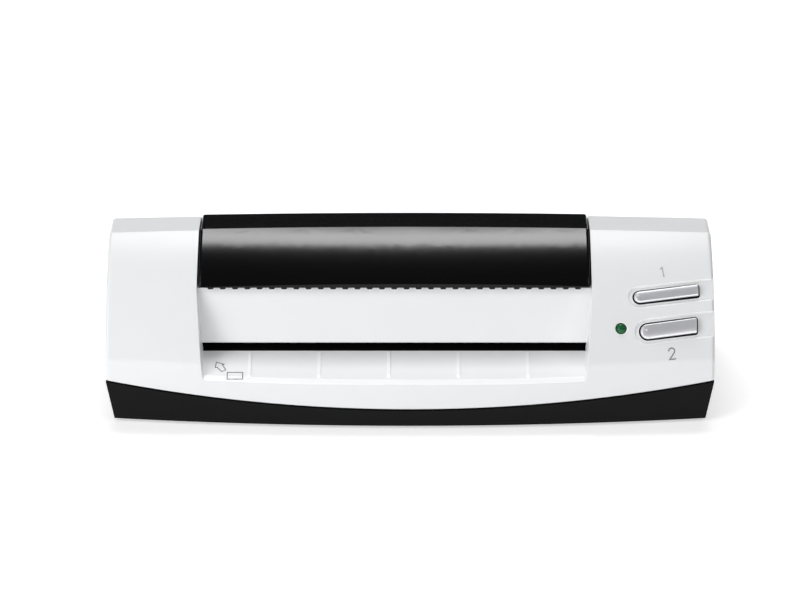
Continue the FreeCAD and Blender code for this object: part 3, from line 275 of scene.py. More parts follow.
class Paint:
    """The node tree of a material or a world. Each node is made by node(), and arithmetic by maths()."""

    def __init__(self, owner, shader="Principled BSDF"):
        self.owner = owner
        self.owner.use_nodes = True
        self.tree = self.owner.node_tree
        self.shader = self.tree.nodes[shader]

    @classmethod
    def material(cls, name):
        return cls(bpy.data.materials.new(name))

    def node(self, kind, settings=None, inputs=None, output=0):
        """Adds a node, sets it up, then gives its sockets their values or links, and returns one output."""
        made = self.tree.nodes.new(kind)
        for key, value in (settings or {}).items():
            setattr(made, key, value)
        for key, value in (inputs or {}).items():
            self.feed(made.inputs[key], value)
        return Signal(self, made.outputs[output])

    def feed(self, socket, value):
        if isinstance(value, Signal):
            self.tree.links.new(value.socket, socket)
        else:
            socket.default_value = value

    def maths(self, operation, first, second):
        return self.node("ShaderNodeMath", {"operation": operation}, {0: first, 1: second})

    def place(self, scale=(1.0, 1.0, 1.0)):
        """Object coordinates, stretched by scale."""
        coordinates = self.node("ShaderNodeTexCoord", output="Object")
        if scale == (1.0, 1.0, 1.0):
            return coordinates
        return self.node("ShaderNodeMapping", None, {"Vector": coordinates, "Scale": scale})

    def axes(self):
        """The three object coordinates, each as a signal of its own."""
        place = self.place()
        return [self.node("ShaderNodeSeparateXYZ", None, {0: place}, axis) for axis in "XYZ"]

    def noise(self, size, detail=2.0, scale=(1.0, 1.0, 1.0)):
        """Noise from 0 to 1 whose blobs are about size metres across."""
        settings = {"noise_dimensions": "3D"}
        inputs = {"Vector": self.place(scale), "Scale": 1.0 / size, "Detail": detail}
        return self.node("ShaderNodeTexNoise", settings, inputs, "Fac")

    def mix(self, factor, first, second):
        """A colour between two colours."""
        inputs = {0: factor, 6: opaque(first), 7: opaque(second)}
        return self.node("ShaderNodeMix", {"data_type": "RGBA"}, inputs, 2)

    def bump(self, height, depth, normal=None):
        """A normal from a height of 0 to 1 that stands for depth metres, on the surface's own or another."""
        inputs = {"Height": height, "Distance": depth, "Strength": 1.0}
        if normal is not None:
            inputs["Normal"] = normal
        return self.node("ShaderNodeBump", None, inputs)

    def finish(self, values):
        """Feeds the surface's sockets and returns the material or world."""
        for key, value in values.items():
            self.feed(self.shader.inputs[key], opaque(value) if "Color" in key else value)
        return self.owner


def opaque(colour):
    """A colour of three numbers with its alpha added; a signal stays as it is."""
    return colour if isinstance(colour, Signal) else (*colour[:3], 1.0)


def moulded(name, colour, roughness, grain=grain_size, depth=grain_depth, shine=0.5):
    """Moulded plastic: a fine spark-eroded grain, with colour and gloss that drift a little."""
    paint = Paint.material(name)
    cloud = paint.noise(patch_size)
    grit = paint.noise(grain, 3.0)
    return paint.finish({
        "Base Color": paint.mix(cloud, colour, darker(colour, 0.97)),
        "Roughness": roughness + (grit - 0.5) * 0.12 + (cloud - 0.5) * 0.06,
        "Specular IOR Level": shine,
        "Normal": paint.bump(grit, depth),
    })


def satin_casing(name, look):
    """The white casing: moulded plastic whose edges look rounded. Its colour is paled along the edges as a painted
    highlight. A faint white emission adds a painted glow at the edges, most of all round the keys, and a painted
    highlight on the bed's lip and ribs. Narrow gaps are painted nearly black as painted shade. The entry bed
    keeps its fine ribs sharp; the key grooves are rounder."""
    # Painted light: how fast the painted edge highlight and the painted shade in gaps come in, and the openness
    # under which a gap gets painted shade; then the painted glow at edges and round the keys, the painted
    # highlight on the bed's lip and ribs, the lip's range of slopes, and the colour shares of the painted
    # highlight and painted shade
    edge_highlight_gain, gap_shade_gain, unshaded_share = 5.0, 6.0, 0.46
    edge_painted_glow, key_painted_glow, lip_painted_highlight, rib_painted_highlight = 0.1, 0.16, 0.16, 0.07
    lip_steepest, lip_flattest = 0.3, 0.92
    edge_highlight_share, gap_shade_share = 1.13, 0.03
    paint = Paint.material(name)
    cloud = paint.noise(patch_size)
    grit = paint.noise(grain_size, 3.0)
    x, y, z = paint.axes()
    in_bay = (x > bay_left) * (x < bay_right)
    on_bed = in_bay * (z > bed_low) * (z < bed_high) * (y < bed_back)
    by_keys = x > keys_left
    radius = (1.0 - on_bed) * look.edge_round + by_keys * look.groove_round
    rounded = paint.node("ShaderNodeBevel", {"samples": 8}, {"Radius": radius})
    straight = paint.node("ShaderNodeNewGeometry", output="Normal")
    turn = paint.node(
        "ShaderNodeVectorMath", {"operation": "DOT_PRODUCT"}, {0: rounded, 1: straight}, "Value")
    # Where the rounded normal turns from the true one, the colour is paled and a glow added: a painted highlight
    edge = ((1.0 - turn) * edge_highlight_gain).clamp()
    rise = paint.node("ShaderNodeSeparateXYZ", None, {0: straight}, "Z")
    # The bed's lip, which gets a painted highlight
    lip = in_bay * (y < lip_back) * (rise > lip_steepest) * (rise < lip_flattest)
    # Painted shade: where little is open round a point, as in narrow gaps, the colour is painted almost black
    depth = paint.node("ShaderNodeAmbientOcclusion", {"samples": 12}, {"Distance": look.gap_shade_reach}, "AO")
    gap = ((unshaded_share - depth) * gap_shade_gain).clamp()
    # The bed's ribs, which get a faint painted highlight
    rib = on_bed * (z - y * bed_slope > bed_level + rib_start)
    # Painted glow: white emission that stands for highlights, left out where the painted shade falls
    glow = (1.0 - gap) * (edge * (by_keys * key_painted_glow + edge_painted_glow) + lip * lip_painted_highlight + rib * rib_painted_highlight)
    white = paint.mix(cloud, look.shell_colour, darker(look.shell_colour, 0.97))
    # The white paled along the edges: a painted highlight
    pale = paint.mix(edge, white, darker(look.shell_colour, edge_highlight_share))
    return paint.finish({
        "Base Color": paint.mix(gap, pale, darker(look.shell_colour, gap_shade_share)),
        "Roughness": look.shell_roughness + (grit - 0.5) * 0.12 + (cloud - 0.5) * 0.06,
        "Emission Color": paint.mix(glow, (0.0, 0.0, 0.0), (1.0, 1.0, 1.0)),
        "Emission Strength": 1.0,
        "Normal": paint.bump(grit, grain_depth, rounded),
    })


def polished_black(name, colour, roughness):
    """Polished black plastic with a faint film of handling haze. The cut edge that faces the front, with the
    teeth, is dull. The gloss is the coat, because its weight may vary."""
    front_facing = -0.97
    paint = Paint.material(name)
    haze = paint.noise(22 * mm, 4.0)
    peel = paint.noise(3 * mm, 1.0)
    facing = paint.node("ShaderNodeTexCoord", output="Normal")
    cut_edge = paint.node("ShaderNodeSeparateXYZ", None, {0: facing}, "Y") < front_facing
    return paint.finish({
        "Base Color": paint.mix(haze, colour, darker(colour, 1.4)),
        "Roughness": 0.4,
        "Specular IOR Level": 0.0,
        "Coat Weight": 1.0 - haze * 0.08 - cut_edge * 0.7,
        "Coat Roughness": roughness,
        "Normal": paint.bump(peel, 0.001 * mm),
    })


def silver_paint(name, colour):
    """Silver paint on plastic, whose fine flakes scatter the light and run into faint streaks."""
    paint = Paint.material(name)
    streak = paint.noise(1.2 * mm, 2.0, (0.05, 1.0, 1.0))
    flake = paint.noise(0.12 * mm, 1.0)
    return paint.finish({
        "Base Color": paint.mix(flake * 0.5 + streak * 0.5, darker(colour, 0.96), darker(colour, 1.04)),
        "Metallic": 0.5,
        "Roughness": 0.34 + streak * 0.05,
        "Normal": paint.bump(flake, 0.0008 * mm),
    })


def lamp_lens(name, colour, low, high):
    """Clear tinted resin. Its colour is painted paler from high to low: a painted glow at the foot that stands for
    light coming through the lens."""
    paint = Paint.material(name)
    depth = paint.noise(1.2 * mm, 1.0)
    height = paint.node("ShaderNodeSeparateXYZ", None, {0: paint.place()}, "Z")
    share = paint.node("ShaderNodeMapRange", None, {"Value": height, "From Min": low, "From Max": high})
    # The pale greens of the foot are the painted glow; the noise only varies them at random
    pale = paint.mix(depth, (0.01, 0.28, 0.05), (0.006, 0.2, 0.035))
    return paint.finish({
        "Base Color": paint.mix(share, pale, colour),
        "Roughness": 0.05,
        "Specular IOR Level": 0.25,
    })


def brushed_metal(name, colour, roughness, scale=(0.05, 1.0, 1.0), grain=0.15 * mm):
    """Bright metal with fine machining marks drawn out along one axis."""
    paint = Paint.material(name)
    marks = paint.noise(grain, 3.0, scale)
    cloud = paint.noise(5 * mm)
    return paint.finish({
        "Base Color": paint.mix(cloud, colour, darker(colour, 0.9)),
        "Metallic": 1.0,
        "Roughness": roughness + (marks - 0.5) * 0.2,
        "Normal": paint.bump(marks, 0.002 * mm),
    })


def cast_bronze(name, colour):
    """Sintered bronze: small dark pores in a matt yellow metal."""
    paint = Paint.material(name)
    pores = paint.noise(0.12 * mm, 2.0) > 0.62
    return paint.finish({
        "Base Color": paint.mix(pores, colour, darker(colour, 0.35)),
        "Metallic": 0.95,
        "Roughness": 0.42 + pores * 0.3,
        "Normal": paint.bump(1.0 - pores, 0.01 * mm),
    })


def moulded_rubber(name, colour):
    """Matt rubber with a ground surface and patches of paler dust."""
    paint = Paint.material(name)
    ground = paint.noise(0.2 * mm, 4.0)
    dust = paint.noise(3 * mm, 3.0)
    return paint.finish({
        "Base Color": paint.mix(dust * 0.5, colour, darker(colour, 1.8)),
        "Roughness": 0.72 + ground * 0.18,
        "Normal": paint.bump(ground, 0.02 * mm),
    })


def solder_mask(name, colour):
    """A circuit board: copper tracks under green lacquer, standing a little proud."""
    paint = Paint.material(name)
    settings = {"wave_type": "BANDS", "bands_direction": "X", "wave_profile": "SIN"}
    inputs = {"Vector": paint.place(), "Scale": 0.3 / mm, "Distortion": 3.0, "Detail": 1.0,
              "Detail Scale": 0.4}
    track = paint.node("ShaderNodeTexWave", settings, inputs, "Fac") > 0.7
    return paint.finish({
        "Base Color": paint.mix(track, colour, darker(colour, 1.9)),
        "Roughness": 0.28 + track * 0.08,
        "Normal": paint.bump(track, 0.03 * mm),
    })


def float_glass(name):
    """Clear glass with the faint green of its edge and a trace of dust."""
    paint = Paint.material(name)
    dust = paint.noise(0.6 * mm, 3.0)
    surface = paint.finish({
        "Base Color": (0.86, 0.95, 0.92),
        "Roughness": 0.02 + dust * 0.05,
    })
    paint.shader.inputs["Transmission Weight"].default_value = 0.92
    paint.shader.inputs["IOR"].default_value = 1.52
    return surface


def flat_cable(name, colour):
    """Laminated cable: tinned conductors show as paler lines under the film."""
    paint = Paint.material(name)
    settings = {"wave_type": "BANDS", "bands_direction": "Y", "wave_profile": "SIN"}
    inputs = {"Vector": paint.place(), "Scale": 0.5 / mm}
    lines = paint.node("ShaderNodeTexWave", settings, inputs, "Fac")
    return paint.finish({
        "Base Color": paint.mix(lines, darker(colour, 0.7), colour),
        "Roughness": 0.3 + lines * 0.15,
        "Normal": paint.bump(lines, 0.05 * mm),
    })


def printed_ink(name, colour):
    """Screen-printed ink with a slightly uneven coat."""
    paint = Paint.material(name)
    coat = paint.noise(0.3 * mm, 2.0)
    return paint.finish({
        "Base Color": paint.mix(coat, colour, darker(colour, 1.25)),
        "Roughness": 0.45 + coat * 0.15,
    })


def dress(material, *nodes):
    """Gives CAD nodes a finished material in place of the plain one they come with."""
    for name in nodes:
        holders = frame["nodes"][name].material_slots
        if not holders:
            raise ValueError(name + " has no material slot")
        for holder in holders:
            holder.material = material


def nodes_in_slot(slot):
    """The CAD nodes whose finish the record gives as slot."""
    return [entry["node"] for entry in frame["record"]["subparts"] if entry["material_slot"] == slot]


def grid_faces(rows, columns, round_rows=False, round_columns=False):
    """Four-sided faces of a grid of points, numbered row by row. A round direction joins up with its
    start."""
    in_rows = np.arange(rows - (not round_rows))
    in_columns = np.arange(columns - (not round_columns))
    i, j = np.meshgrid(in_rows, in_columns, indexing="ij")
    below, beside = (i + 1) % rows, (j + 1) % columns
    corners = [i * columns + j, below * columns + j, below * columns + beside, i * columns + beside]
    return np.stack(corners, axis=-1).reshape(-1, 4)


def tube(grid, material):
    """A surface of closed rings, one to each row of the grid: its points, its faces and its material."""
    return grid, grid_faces(grid.shape[0], grid.shape[1], round_columns=True), material


def new_piece(name, points, faces, materials):
    """An object in the scene whose mesh has the given points and faces."""
    mesh = bpy.data.meshes.new(name)
    mesh.from_pydata(points.tolist(), [], faces.tolist())
    for material in materials:
        mesh.materials.append(material)
    piece = bpy.data.objects.new(name, mesh)
    bpy.context.scene.collection.objects.link(piece)
    return piece


def joined(surfaces):
    """The points of several surfaces one after the other, and their faces numbered to match."""
    points, faces, count = [], [], 0
    for surface in surfaces:
        points.append(surface[0].reshape(-1, 3))
        faces.append(surface[1] + count)
        count += len(points[-1])
    return np.concatenate(points), np.concatenate(faces)


def make_piece(name, surfaces, body):
    """One object, on one body, of several closed surfaces, each given as grid points, faces and material."""
    materials = list(dict.fromkeys(material for grid, quads, material in surfaces))
    piece = new_piece(name, *joined(surfaces), materials)
    finish = [np.full(len(quads), materials.index(material)) for grid, quads, material in surfaces]
    piece.data.polygons.foreach_set("material_index", np.concatenate(finish))
    close_up(piece.data)
    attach(piece, body)
    return piece


def close_up(mesh):
    """Merges the points that meet at seams and poles, turns faces outwards and smooths the gentle edges."""
    shape = bmesh.new()
    shape.from_mesh(mesh)
    same_place, no_length = 1e-7, 1e-8
    bmesh.ops.remove_doubles(shape, verts=shape.verts, dist=same_place)
    bmesh.ops.dissolve_degenerate(shape, edges=shape.edges, dist=no_length)
    bmesh.ops.recalc_face_normals(shape, faces=shape.faces)
    shape.to_mesh(mesh)
    shape.free()
    mesh.polygons.foreach_set("use_smooth", np.ones(len(mesh.polygons), bool))
    mesh.set_sharp_from_angle(angle=math.radians(35))


def turned(profile, steps, to_world, material):
    """A surface of revolution: each (radius, height) of the profile goes round local Z in equal steps."""
    radius, height = np.array(profile, float).T
    angle = np.linspace(0, 2 * np.pi, steps, endpoint=False)
    grid = np.stack([
        radius[:, None] * np.cos(angle), radius[:, None] * np.sin(angle),
        height[:, None] * np.ones(steps)], axis=-1)
    return tube(placed(grid, to_world), material)


def placed(grid, to_world):
    """Grid points carried by a 4 by 4 matrix."""
    matrix = np.array(to_world)
    return grid @ matrix[:3, :3].T + matrix[:3, 3]


def frame_at(origin, along, up):
    """A matrix whose X runs along, whose Z is up and whose origin is the given point."""
    along = Vector(along).normalized()
    up = Vector(up).normalized()
    across = up.cross(along)
    matrix = Matrix((along, across, up)).transposed().to_4x4()
    matrix.translation = origin
    return matrix


def node_points(node):
    """All the points of a CAD node, as an array."""
    mesh = frame["nodes"][node].data
    flat = np.empty(len(mesh.vertices) * 3, np.float32)
    mesh.vertices.foreach_get("co", flat)
    return flat.reshape(-1, 3).astype(float)


def node_solids(node):
    """The points of a CAD node, apart for each separate solid. Points that share a place are one, and each
    point takes the lowest number among its neighbours until none changes."""
    points = node_points(node)
    mesh = frame["nodes"][node].data
    ends = np.empty(len(mesh.edges) * 2, np.int32)
    mesh.edges.foreach_get("vertices", ends)
    places, of_point = np.unique(np.round(points, 6), axis=0, return_inverse=True)
    first, second = of_point.reshape(-1)[ends.reshape(-1, 2)].T
    label = np.arange(len(places))
    while True:
        lowest = np.minimum(label[first], label[second])
        after = label.copy()
        np.minimum.at(after, first, lowest)
        np.minimum.at(after, second, lowest)
        if (after == label).all():
            return [places[label == number] for number in np.unique(label)]
        label = after


def joint_axis(name):
    """The direction of a joint of the part."""
    for joint in frame["joints"]:
        if joint["name"] == name:
            return Vector(joint["axis"])
    raise ValueError("no joint named " + name)


def key_frame(node, corner):
    """A key's own frame and the size of its cap: X along the key, Z out of the pod, from the CAD key. Its
    right end leans, so the cap's box reaches past the middle of that end."""
    out = -joint_axis(node + "_press")
    uphill = out.cross(Vector((1, 0, 0)))
    along = Vector((1, 0, 0)) * math.cos(key_tilt) + uphill * math.sin(key_tilt)
    axes = np.array(frame_at(Vector((0, 0, 0)), along, out))[:3, :3]
    local = node_points(node) @ axes
    cap = local[local[:, 2] > local[:, 2].max() - cap_depth]
    low, high = cap.min(axis=0), cap.max(axis=0)
    height = high[1] - low[1]
    high[0] -= (height / 2 - corner) * math.tan(key_tilt) + corner * (1 - 1 / math.cos(key_tilt))
    middle = (low + high) / 2
    middle[2] = high[2]
    origin = Vector(axes @ middle)
    return frame_at(origin, along, out), high[0] - low[0], height, local[:, 2].min() - high[2]


def key_outline(length, height, corner):
    """Points round a key, and the spine point that each one belongs to. The left end is half a circle. The
    right end stands straight up the slope, which is tan(tilt) * y in the key's frame, with round corners."""
    radius, slant = height / 2, math.tan(key_tilt)
    left, right = -length / 2 + radius, length / 2
    half_turn = np.linspace(np.pi / 2, 1.5 * np.pi, 33)
    arc_left = np.stack([left + radius * np.cos(half_turn), radius * np.sin(half_turn)], axis=-1)
    corners = []
    for way, turn in ((-1, np.linspace(-np.pi / 2, -key_tilt, 9)), (1, np.linspace(-key_tilt, np.pi / 2, 9))):
        y = way * (radius - corner)
        x = right + y * slant - corner / math.cos(key_tilt)
        corners.append(np.stack([x + corner * np.cos(turn), y + corner * np.sin(turn)], axis=-1))
    stops = np.linspace(0, 1, 41)[1:-1, None]
    low_side = arc_left[-1] + (corners[0][0] - arc_left[-1]) * stops
    end = corners[0][-1] + (corners[1][0] - corners[0][-1]) * stops[::4]
    high_side = corners[1][-1] + (arc_left[0] - corners[1][-1]) * stops
    outline = np.concatenate([arc_left, low_side, corners[0], end, corners[1], high_side])
    spine = np.stack([np.clip(outline[:, 0], left, right - radius), np.zeros(len(outline))], axis=-1)
    return outline, spine


def key_rings(length, height, corner, inset, rise, crown, to_world, material):
    """Rings round a key: each one is the outline drawn in towards the spine by its inset, at its own height.
    From there it falls by crown times the square of the distance to the spine's line over half the height."""
    outline, spine = key_outline(length, height, corner)
    flat = spine[None] + (outline - spine)[None] * (1 - inset)[:, None, None]
    before = np.minimum(flat[..., 0] - (-length / 2 + height / 2), 0)
    away = np.hypot(before, flat[..., 1]) / (height / 2)
    level = rise[:, None] - np.reshape(crown, (-1, 1)) * away ** 2
    grid = np.concatenate([flat, level[..., None]], axis=-1)
    return tube(placed(grid, to_world), material)


def key_surface(length, height, detail, to_world, paint, plastic):
    """A key's cap. The flange and walls go straight down and are bare dark plastic, whose dark also stands as
    painted shade in the gap round the cap. The silver-painted part is a quarter circle over the edge, then a face
    that a parabola crowns."""
    bevel, crown, corner = detail.key_bevel, detail.key_crown, detail.key_corner
    rim = detail.key_flange / (height / 2)
    turn = np.linspace(0, np.pi / 2, 9)
    share = np.linspace(0, 1, 16)
    face_edge, gap = bevel / (height / 2), detail.key_gap / (height / 2)
    foot = -flange_depth - flange_thick
    walls = key_rings(
        length, height, corner, np.array([1.0, -rim, -rim, gap, gap]),
        np.array([foot, foot, -flange_depth, -flange_depth, -bevel]), [0, 0, 0, 0, crown], to_world, plastic)
    inset = np.concatenate([
        gap + face_edge * (1 - np.cos(turn)), gap + face_edge + (1 - gap - face_edge) * share[1:]])
    rise = np.concatenate([-bevel * (1 - np.sin(turn)), 0 * share[1:]])
    return [walls, key_rings(length, height, corner, inset, rise, crown, to_world, paint)]


def tactile_dot(length, height, radius, to_world, material):
    """A small ball that stands out of the face near the key's round end, with its centre below the face."""
    from_end, uphill, sunk = height * 0.42, height * 0.1, radius * 0.55
    turn = np.linspace(-np.pi / 2, np.pi / 2, 17)
    profile = np.stack([radius * np.cos(turn), radius * np.sin(turn)], axis=-1)
    at = to_world @ Matrix.Translation((-length / 2 + from_end, uphill, -sunk))
    return turned(profile, 24, at, material)


def stroke(corners, width, spacing, closed=False):
    """A flat line of even width along a path: two rows of points, each half the width to one side, mitred at
    the bends. Points are set about spacing apart, so that the line can bend over a curved surface."""
    shortest_leg, sharpest_bend = spacing * 0.05, 0.35
    corners = np.array(corners, float)
    if closed:
        corners = np.concatenate([corners, corners[:1]])
    run = np.concatenate([[0], np.cumsum(np.linalg.norm(np.diff(corners, axis=0), axis=1))])
    along = np.unique(np.concatenate([run, np.arange(0, run[-1], spacing)]))
    along = along[np.concatenate([[True], np.diff(along) > shortest_leg])]
    path = np.stack([np.interp(along, run, corners[:, 0]), np.interp(along, run, corners[:, 1])], axis=-1)
    if closed:
        path = path[:-1]
        before, after = path - np.roll(path, 1, axis=0), np.roll(path, -1, axis=0) - path
    else:
        leg = np.diff(path, axis=0)
        before, after = np.concatenate([leg[:1], leg]), np.concatenate([leg, leg[-1:]])
    before /= np.linalg.norm(before, axis=1, keepdims=True)
    after /= np.linalg.norm(after, axis=1, keepdims=True)
    middle = before + after
    middle /= np.linalg.norm(middle, axis=1, keepdims=True)
    reach = width / 2 / np.maximum((middle * before).sum(axis=1, keepdims=True), sharpest_bend)
    side = np.stack([-middle[:, 1], middle[:, 0]], axis=-1) * reach
    grid = np.stack([path + side, path - side], axis=1)
    flat = np.concatenate([grid, np.zeros((len(grid), 2, 1))], axis=-1)
    return flat, grid_faces(len(grid), 2, round_rows=closed)


def screw_head(radius, height, detail, to_world, material):
    """A pan head with a cross recess, as rings round Z. Its height is a quarter ellipse over the radius, less
    the recess where the smaller of |x| and |y| is under half a slot and the larger one under its reach."""
    steps, rim_share, recess_share = 72, 0.45, 0.6
    angle = np.linspace(0, 2 * np.pi, steps, endpoint=False)
    share = np.concatenate([np.linspace(0, 0.7, 22), np.sin(np.linspace(0.78, np.pi / 2, 9))])
    x, y = share[:, None] * np.cos(angle) * radius, share[:, None] * np.sin(angle) * radius
    dome = height * (rim_share + (1 - rim_share) * np.sqrt(np.maximum(1 - share[:, None] ** 2, 0))) + 0 * x
    narrow, wide = np.minimum(abs(x), abs(y)), np.maximum(abs(x), abs(y))
    slot, reach = detail.slot_share * radius, 0.62 * radius
    side_slope, end_slope = 0.25 * slot, 0.2 * radius
    inside = np.clip((slot - narrow) / side_slope, 0, 1) * np.clip((reach - wide) / end_slope, 0, 1)
    top = np.stack([x, y, dome - inside * height * recess_share], axis=-1)
    rim = np.stack([x[-1], y[-1], np.zeros(steps)], axis=-1)
    foot = np.zeros((steps, 3))
    return tube(placed(np.concatenate([top, rim[None], foot[None]]), to_world), material)


def screw_thread(length, radius, detail, to_world, material):
    """A threaded shank: the radius rises and falls as a triangle wave of height and turn, so the crest climbs
    one pitch in each turn, and the last pitch draws in to a point."""
    steps, rings_a_turn = 28, 8
    pitch, depth = detail.thread_pitch, 0.18 * radius
    point_length, plain_length, tip_share = 1.5 * pitch, 0.6 * pitch, 0.12
    height = np.linspace(0.0, length, int(length / pitch * rings_a_turn))[:, None]
    angle = np.linspace(0, 2 * np.pi, steps, endpoint=False)[None]
    wave = 2 * abs((height / pitch - angle / (2 * np.pi)) % 1.0 - 0.5)
    point = np.clip((length - height) / point_length, tip_share, 1.0)
    plain = np.clip(height / plain_length, 0.0, 1.0)
    reach = (radius - depth * (1 - wave) * plain) * point
    grid = np.stack([reach * np.cos(angle), reach * np.sin(angle), -height + 0 * angle], axis=-1)
    head, tip = np.zeros((1, steps, 3)), np.zeros((1, steps, 3)) + (0, 0, -length)
    return tube(placed(np.concatenate([head, grid, tip]), to_world), material)


def screw_surfaces(points, way, detail, material):
    """A screw with the sizes of the CAD one: its points give the head's radius and height and the shank."""
    way = np.array(way, float)
    along = points @ way
    middle = (points.max(axis=0) + points.min(axis=0)) / 2
    axis_at = middle - way * (middle @ way)
    off_axis = np.linalg.norm(points - axis_at - along[:, None] * way, axis=1)
    head_r = off_axis.max()
    seat = along[off_axis > 0.95 * head_r].max()
    shank_r = off_axis[along > along.max() - 0.01 * mm].max()
    across = (1, 0, 0) if abs(way[0]) < 0.5 else (0, 1, 0)
    to_world = frame_at(Vector(axis_at + way * seat), across, Vector(-way))
    return [screw_head(head_r, seat - along.min(), detail, to_world, material),
            screw_thread(along.max() - seat, shank_r, detail, to_world, material)]


def foot_surface(points, steps, material):
    """A rubber foot: a turned disc with a rounded rim and two ring grooves in the face it stands on."""
    low, high = points.min(axis=0), points.max(axis=0)
    radius, height = (high[0] - low[0]) / 2, high[2] - low[2]
    turn = np.linspace(0, np.pi / 2, 6)
    rim = 0.3 * mm
    groove = 0.12 * mm
    profile = [(0, 0)]
    for ring in (0.35, 0.65):
        for offset, rise in ((-2, 0), (-1, 1), (1, 1), (2, 0)):
            profile.append((ring * radius + offset * groove, rise * groove))
    profile += [(radius - rim + rim * math.sin(angle), rim - rim * math.cos(angle)) for angle in turn]
    profile += [(radius, height), (0, height)]
    middle = (low + high) / 2
    at = Matrix.Translation((middle[0], middle[1], low[2]))
    return turned(profile, steps, at, material)


def box_surface(low, high, material):
    """The six sides of a box, as a grid of four corners carried up its height and closed at both ends."""
    corners = np.array([(-0.5, -0.5), (0.5, -0.5), (0.5, 0.5), (-0.5, 0.5)])
    size, rise = np.array([(0, 0), (1, 0), (1, 1), (0, 1)], float).T[:, :, None, None]
    grid = np.concatenate([0.5 + corners * size, rise + np.zeros((4, 4, 1))], axis=-1)
    low, high = np.array(low, float), np.array(high, float)
    return tube(low + grid * (high - low), material)


def leg_surfaces(low, high, sides, pitch, material):
    """Gull-wing legs along the sides of a chip: each leaves the body level, bends down and ends flat."""
    width, thick = pitch * 0.4, 0.15 * mm
    height = (high[2] - low[2]) * 0.45
    out = np.array([-0.3, 0.25, 0.5, 0.75, 1.15]) * mm
    rise = np.array([height, height, height * 0.5, thick * 0.6, thick * 0.6])
    section = np.array([(-0.5, -0.5), (0.5, -0.5), (0.5, 0.5), (-0.5, 0.5)])
    side = np.stack([
        out[:, None] + 0 * section[:, 0], section[:, 0] * width + 0 * out[:, None],
        rise[:, None] + section[:, 1] * thick], axis=-1)
    middle = side.mean(axis=1, keepdims=True)
    leg = np.concatenate([middle[:1] + 0 * side[:1], side, middle[-1:] + 0 * side[-1:]])
    surfaces = []
    size = np.array([high[0] - low[0], high[1] - low[1]])
    centre = (np.array(low[:2]) + high[:2]) / 2
    for turn in sides:
        reach, run = (size[0], size[1]) if turn % 2 == 0 else (size[1], size[0])
        count = int((run - pitch) / pitch)
        spots = (np.arange(count) - (count - 1) / 2) * pitch
        for spot in spots:
            to_world = (Matrix.Translation((centre[0], centre[1], low[2]))
                        @ Matrix.Rotation(turn * math.pi / 2, 4, "Z")
                        @ Matrix.Translation((reach / 2, spot, 0)))
            surfaces.append(tube(placed(leg, to_world), material))
    return surfaces


def cast_down(node, x, y):
    """The point and normal of a CAD node's top surface over a place on the floor."""
    over_all = 0.2
    hit, point, normal = frame["nodes"][node].ray_cast(Vector((x, y, over_all)), Vector((0, 0, -1)))[:3]
    if not hit:
        raise ValueError("nothing of " + node + " lies under the mark")
    return point, normal


def lay_on(piece, node, height):
    """Wraps a flat mark onto a CAD node's surface and gives it the thickness of a coat of ink."""
    coat_share = 0.8
    wrap = piece.modifiers.new("wrap", "SHRINKWRAP")
    wrap.target = frame["nodes"][node]
    wrap.wrap_method = "NEAREST_SURFACEPOINT"
    wrap.wrap_mode = "ABOVE_SURFACE"
    wrap.offset = height
    coat = piece.modifiers.new("coat", "SOLIDIFY")
    coat.thickness = height * coat_share
    coat.offset = -1.0
    graph = bpy.context.evaluated_depsgraph_get()
    settled = bpy.data.meshes.new_from_object(piece.evaluated_get(graph))
    piece.modifiers.clear()
    piece.data = settled


def printed(name, strokes, to_world, lift, material):
    """A mark of several strokes, printed on the casing where to_world puts its middle."""
    points, faces = joined(strokes)
    piece = new_piece(name, placed(points, to_world), faces, [material])
    lay_on(piece, "upper_casing", lift)
    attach(piece, "case")


def pod_frame(at):
    """A frame on the right pod's face: X runs along the keys and Z points out of the face."""
    point, normal = cast_down("upper_casing", at[0] * mm, at[1] * mm)
    uphill = normal.cross(Vector((1, 0, 0)))
    along = Vector((1, 0, 0)) * math.cos(key_tilt) + uphill * math.sin(key_tilt)
    return frame_at(point, along, normal)


class SCANNER_OT_mouldings(Operator):
    """Give the casing, cover, base and inner mouldings their plastic finishes"""

    bl_idname = "scanner.mouldings"
    bl_label = "Mouldings"

    def execute(self, context):
        look = context.scene.scanner_finish
        dress(satin_casing("satin_white", look), "upper_casing")
        dress(polished_black("polished_black", look.cover_colour, look.cover_roughness), "top_cover")
        dress(moulded("grained_black", look.base_colour, look.base_roughness, grain=0.3 * mm,
                      depth=0.012 * mm, shine=look.base_shine), "base_tray")
        for slot, roughness in (("inner_black", 0.5), ("inner_grey", 0.45), ("gear_acetal", 0.38),
                                ("white_backing", 0.42), ("chip_black", 0.55)):
            dress(moulded(slot, slot_colour(slot), roughness), *nodes_in_slot(slot))
        # The chassis, seen through the feed slot, is darkened to a tenth of the inner black with no shine, so that
        # the slot shows dark: painted shade
        guide_shade_share, guide_roughness = 0.1, 0.7
        guide_black = darker(slot_colour("inner_black"), guide_shade_share)
        dress(moulded("guide_black", guide_black, guide_roughness, shine=0.0), "chassis")
        return {"FINISHED"}


class SCANNER_OT_metals(Operator):
    """Give shafts, springs, bushes and screws their metal finishes"""

    bl_idname = "scanner.metals"
    bl_label = "Metals"

    def execute(self, context):
        dress(brushed_metal("ground_steel", slot_colour("steel"), 0.24), *nodes_in_slot("steel"))
        dress(brushed_metal("spring_steel", slot_colour("spring_steel"), 0.3), *nodes_in_slot("spring_steel"))
        dress(cast_bronze("sintered_bronze", slot_colour("brass_bush")), *nodes_in_slot("brass_bush"))
        return {"FINISHED"}


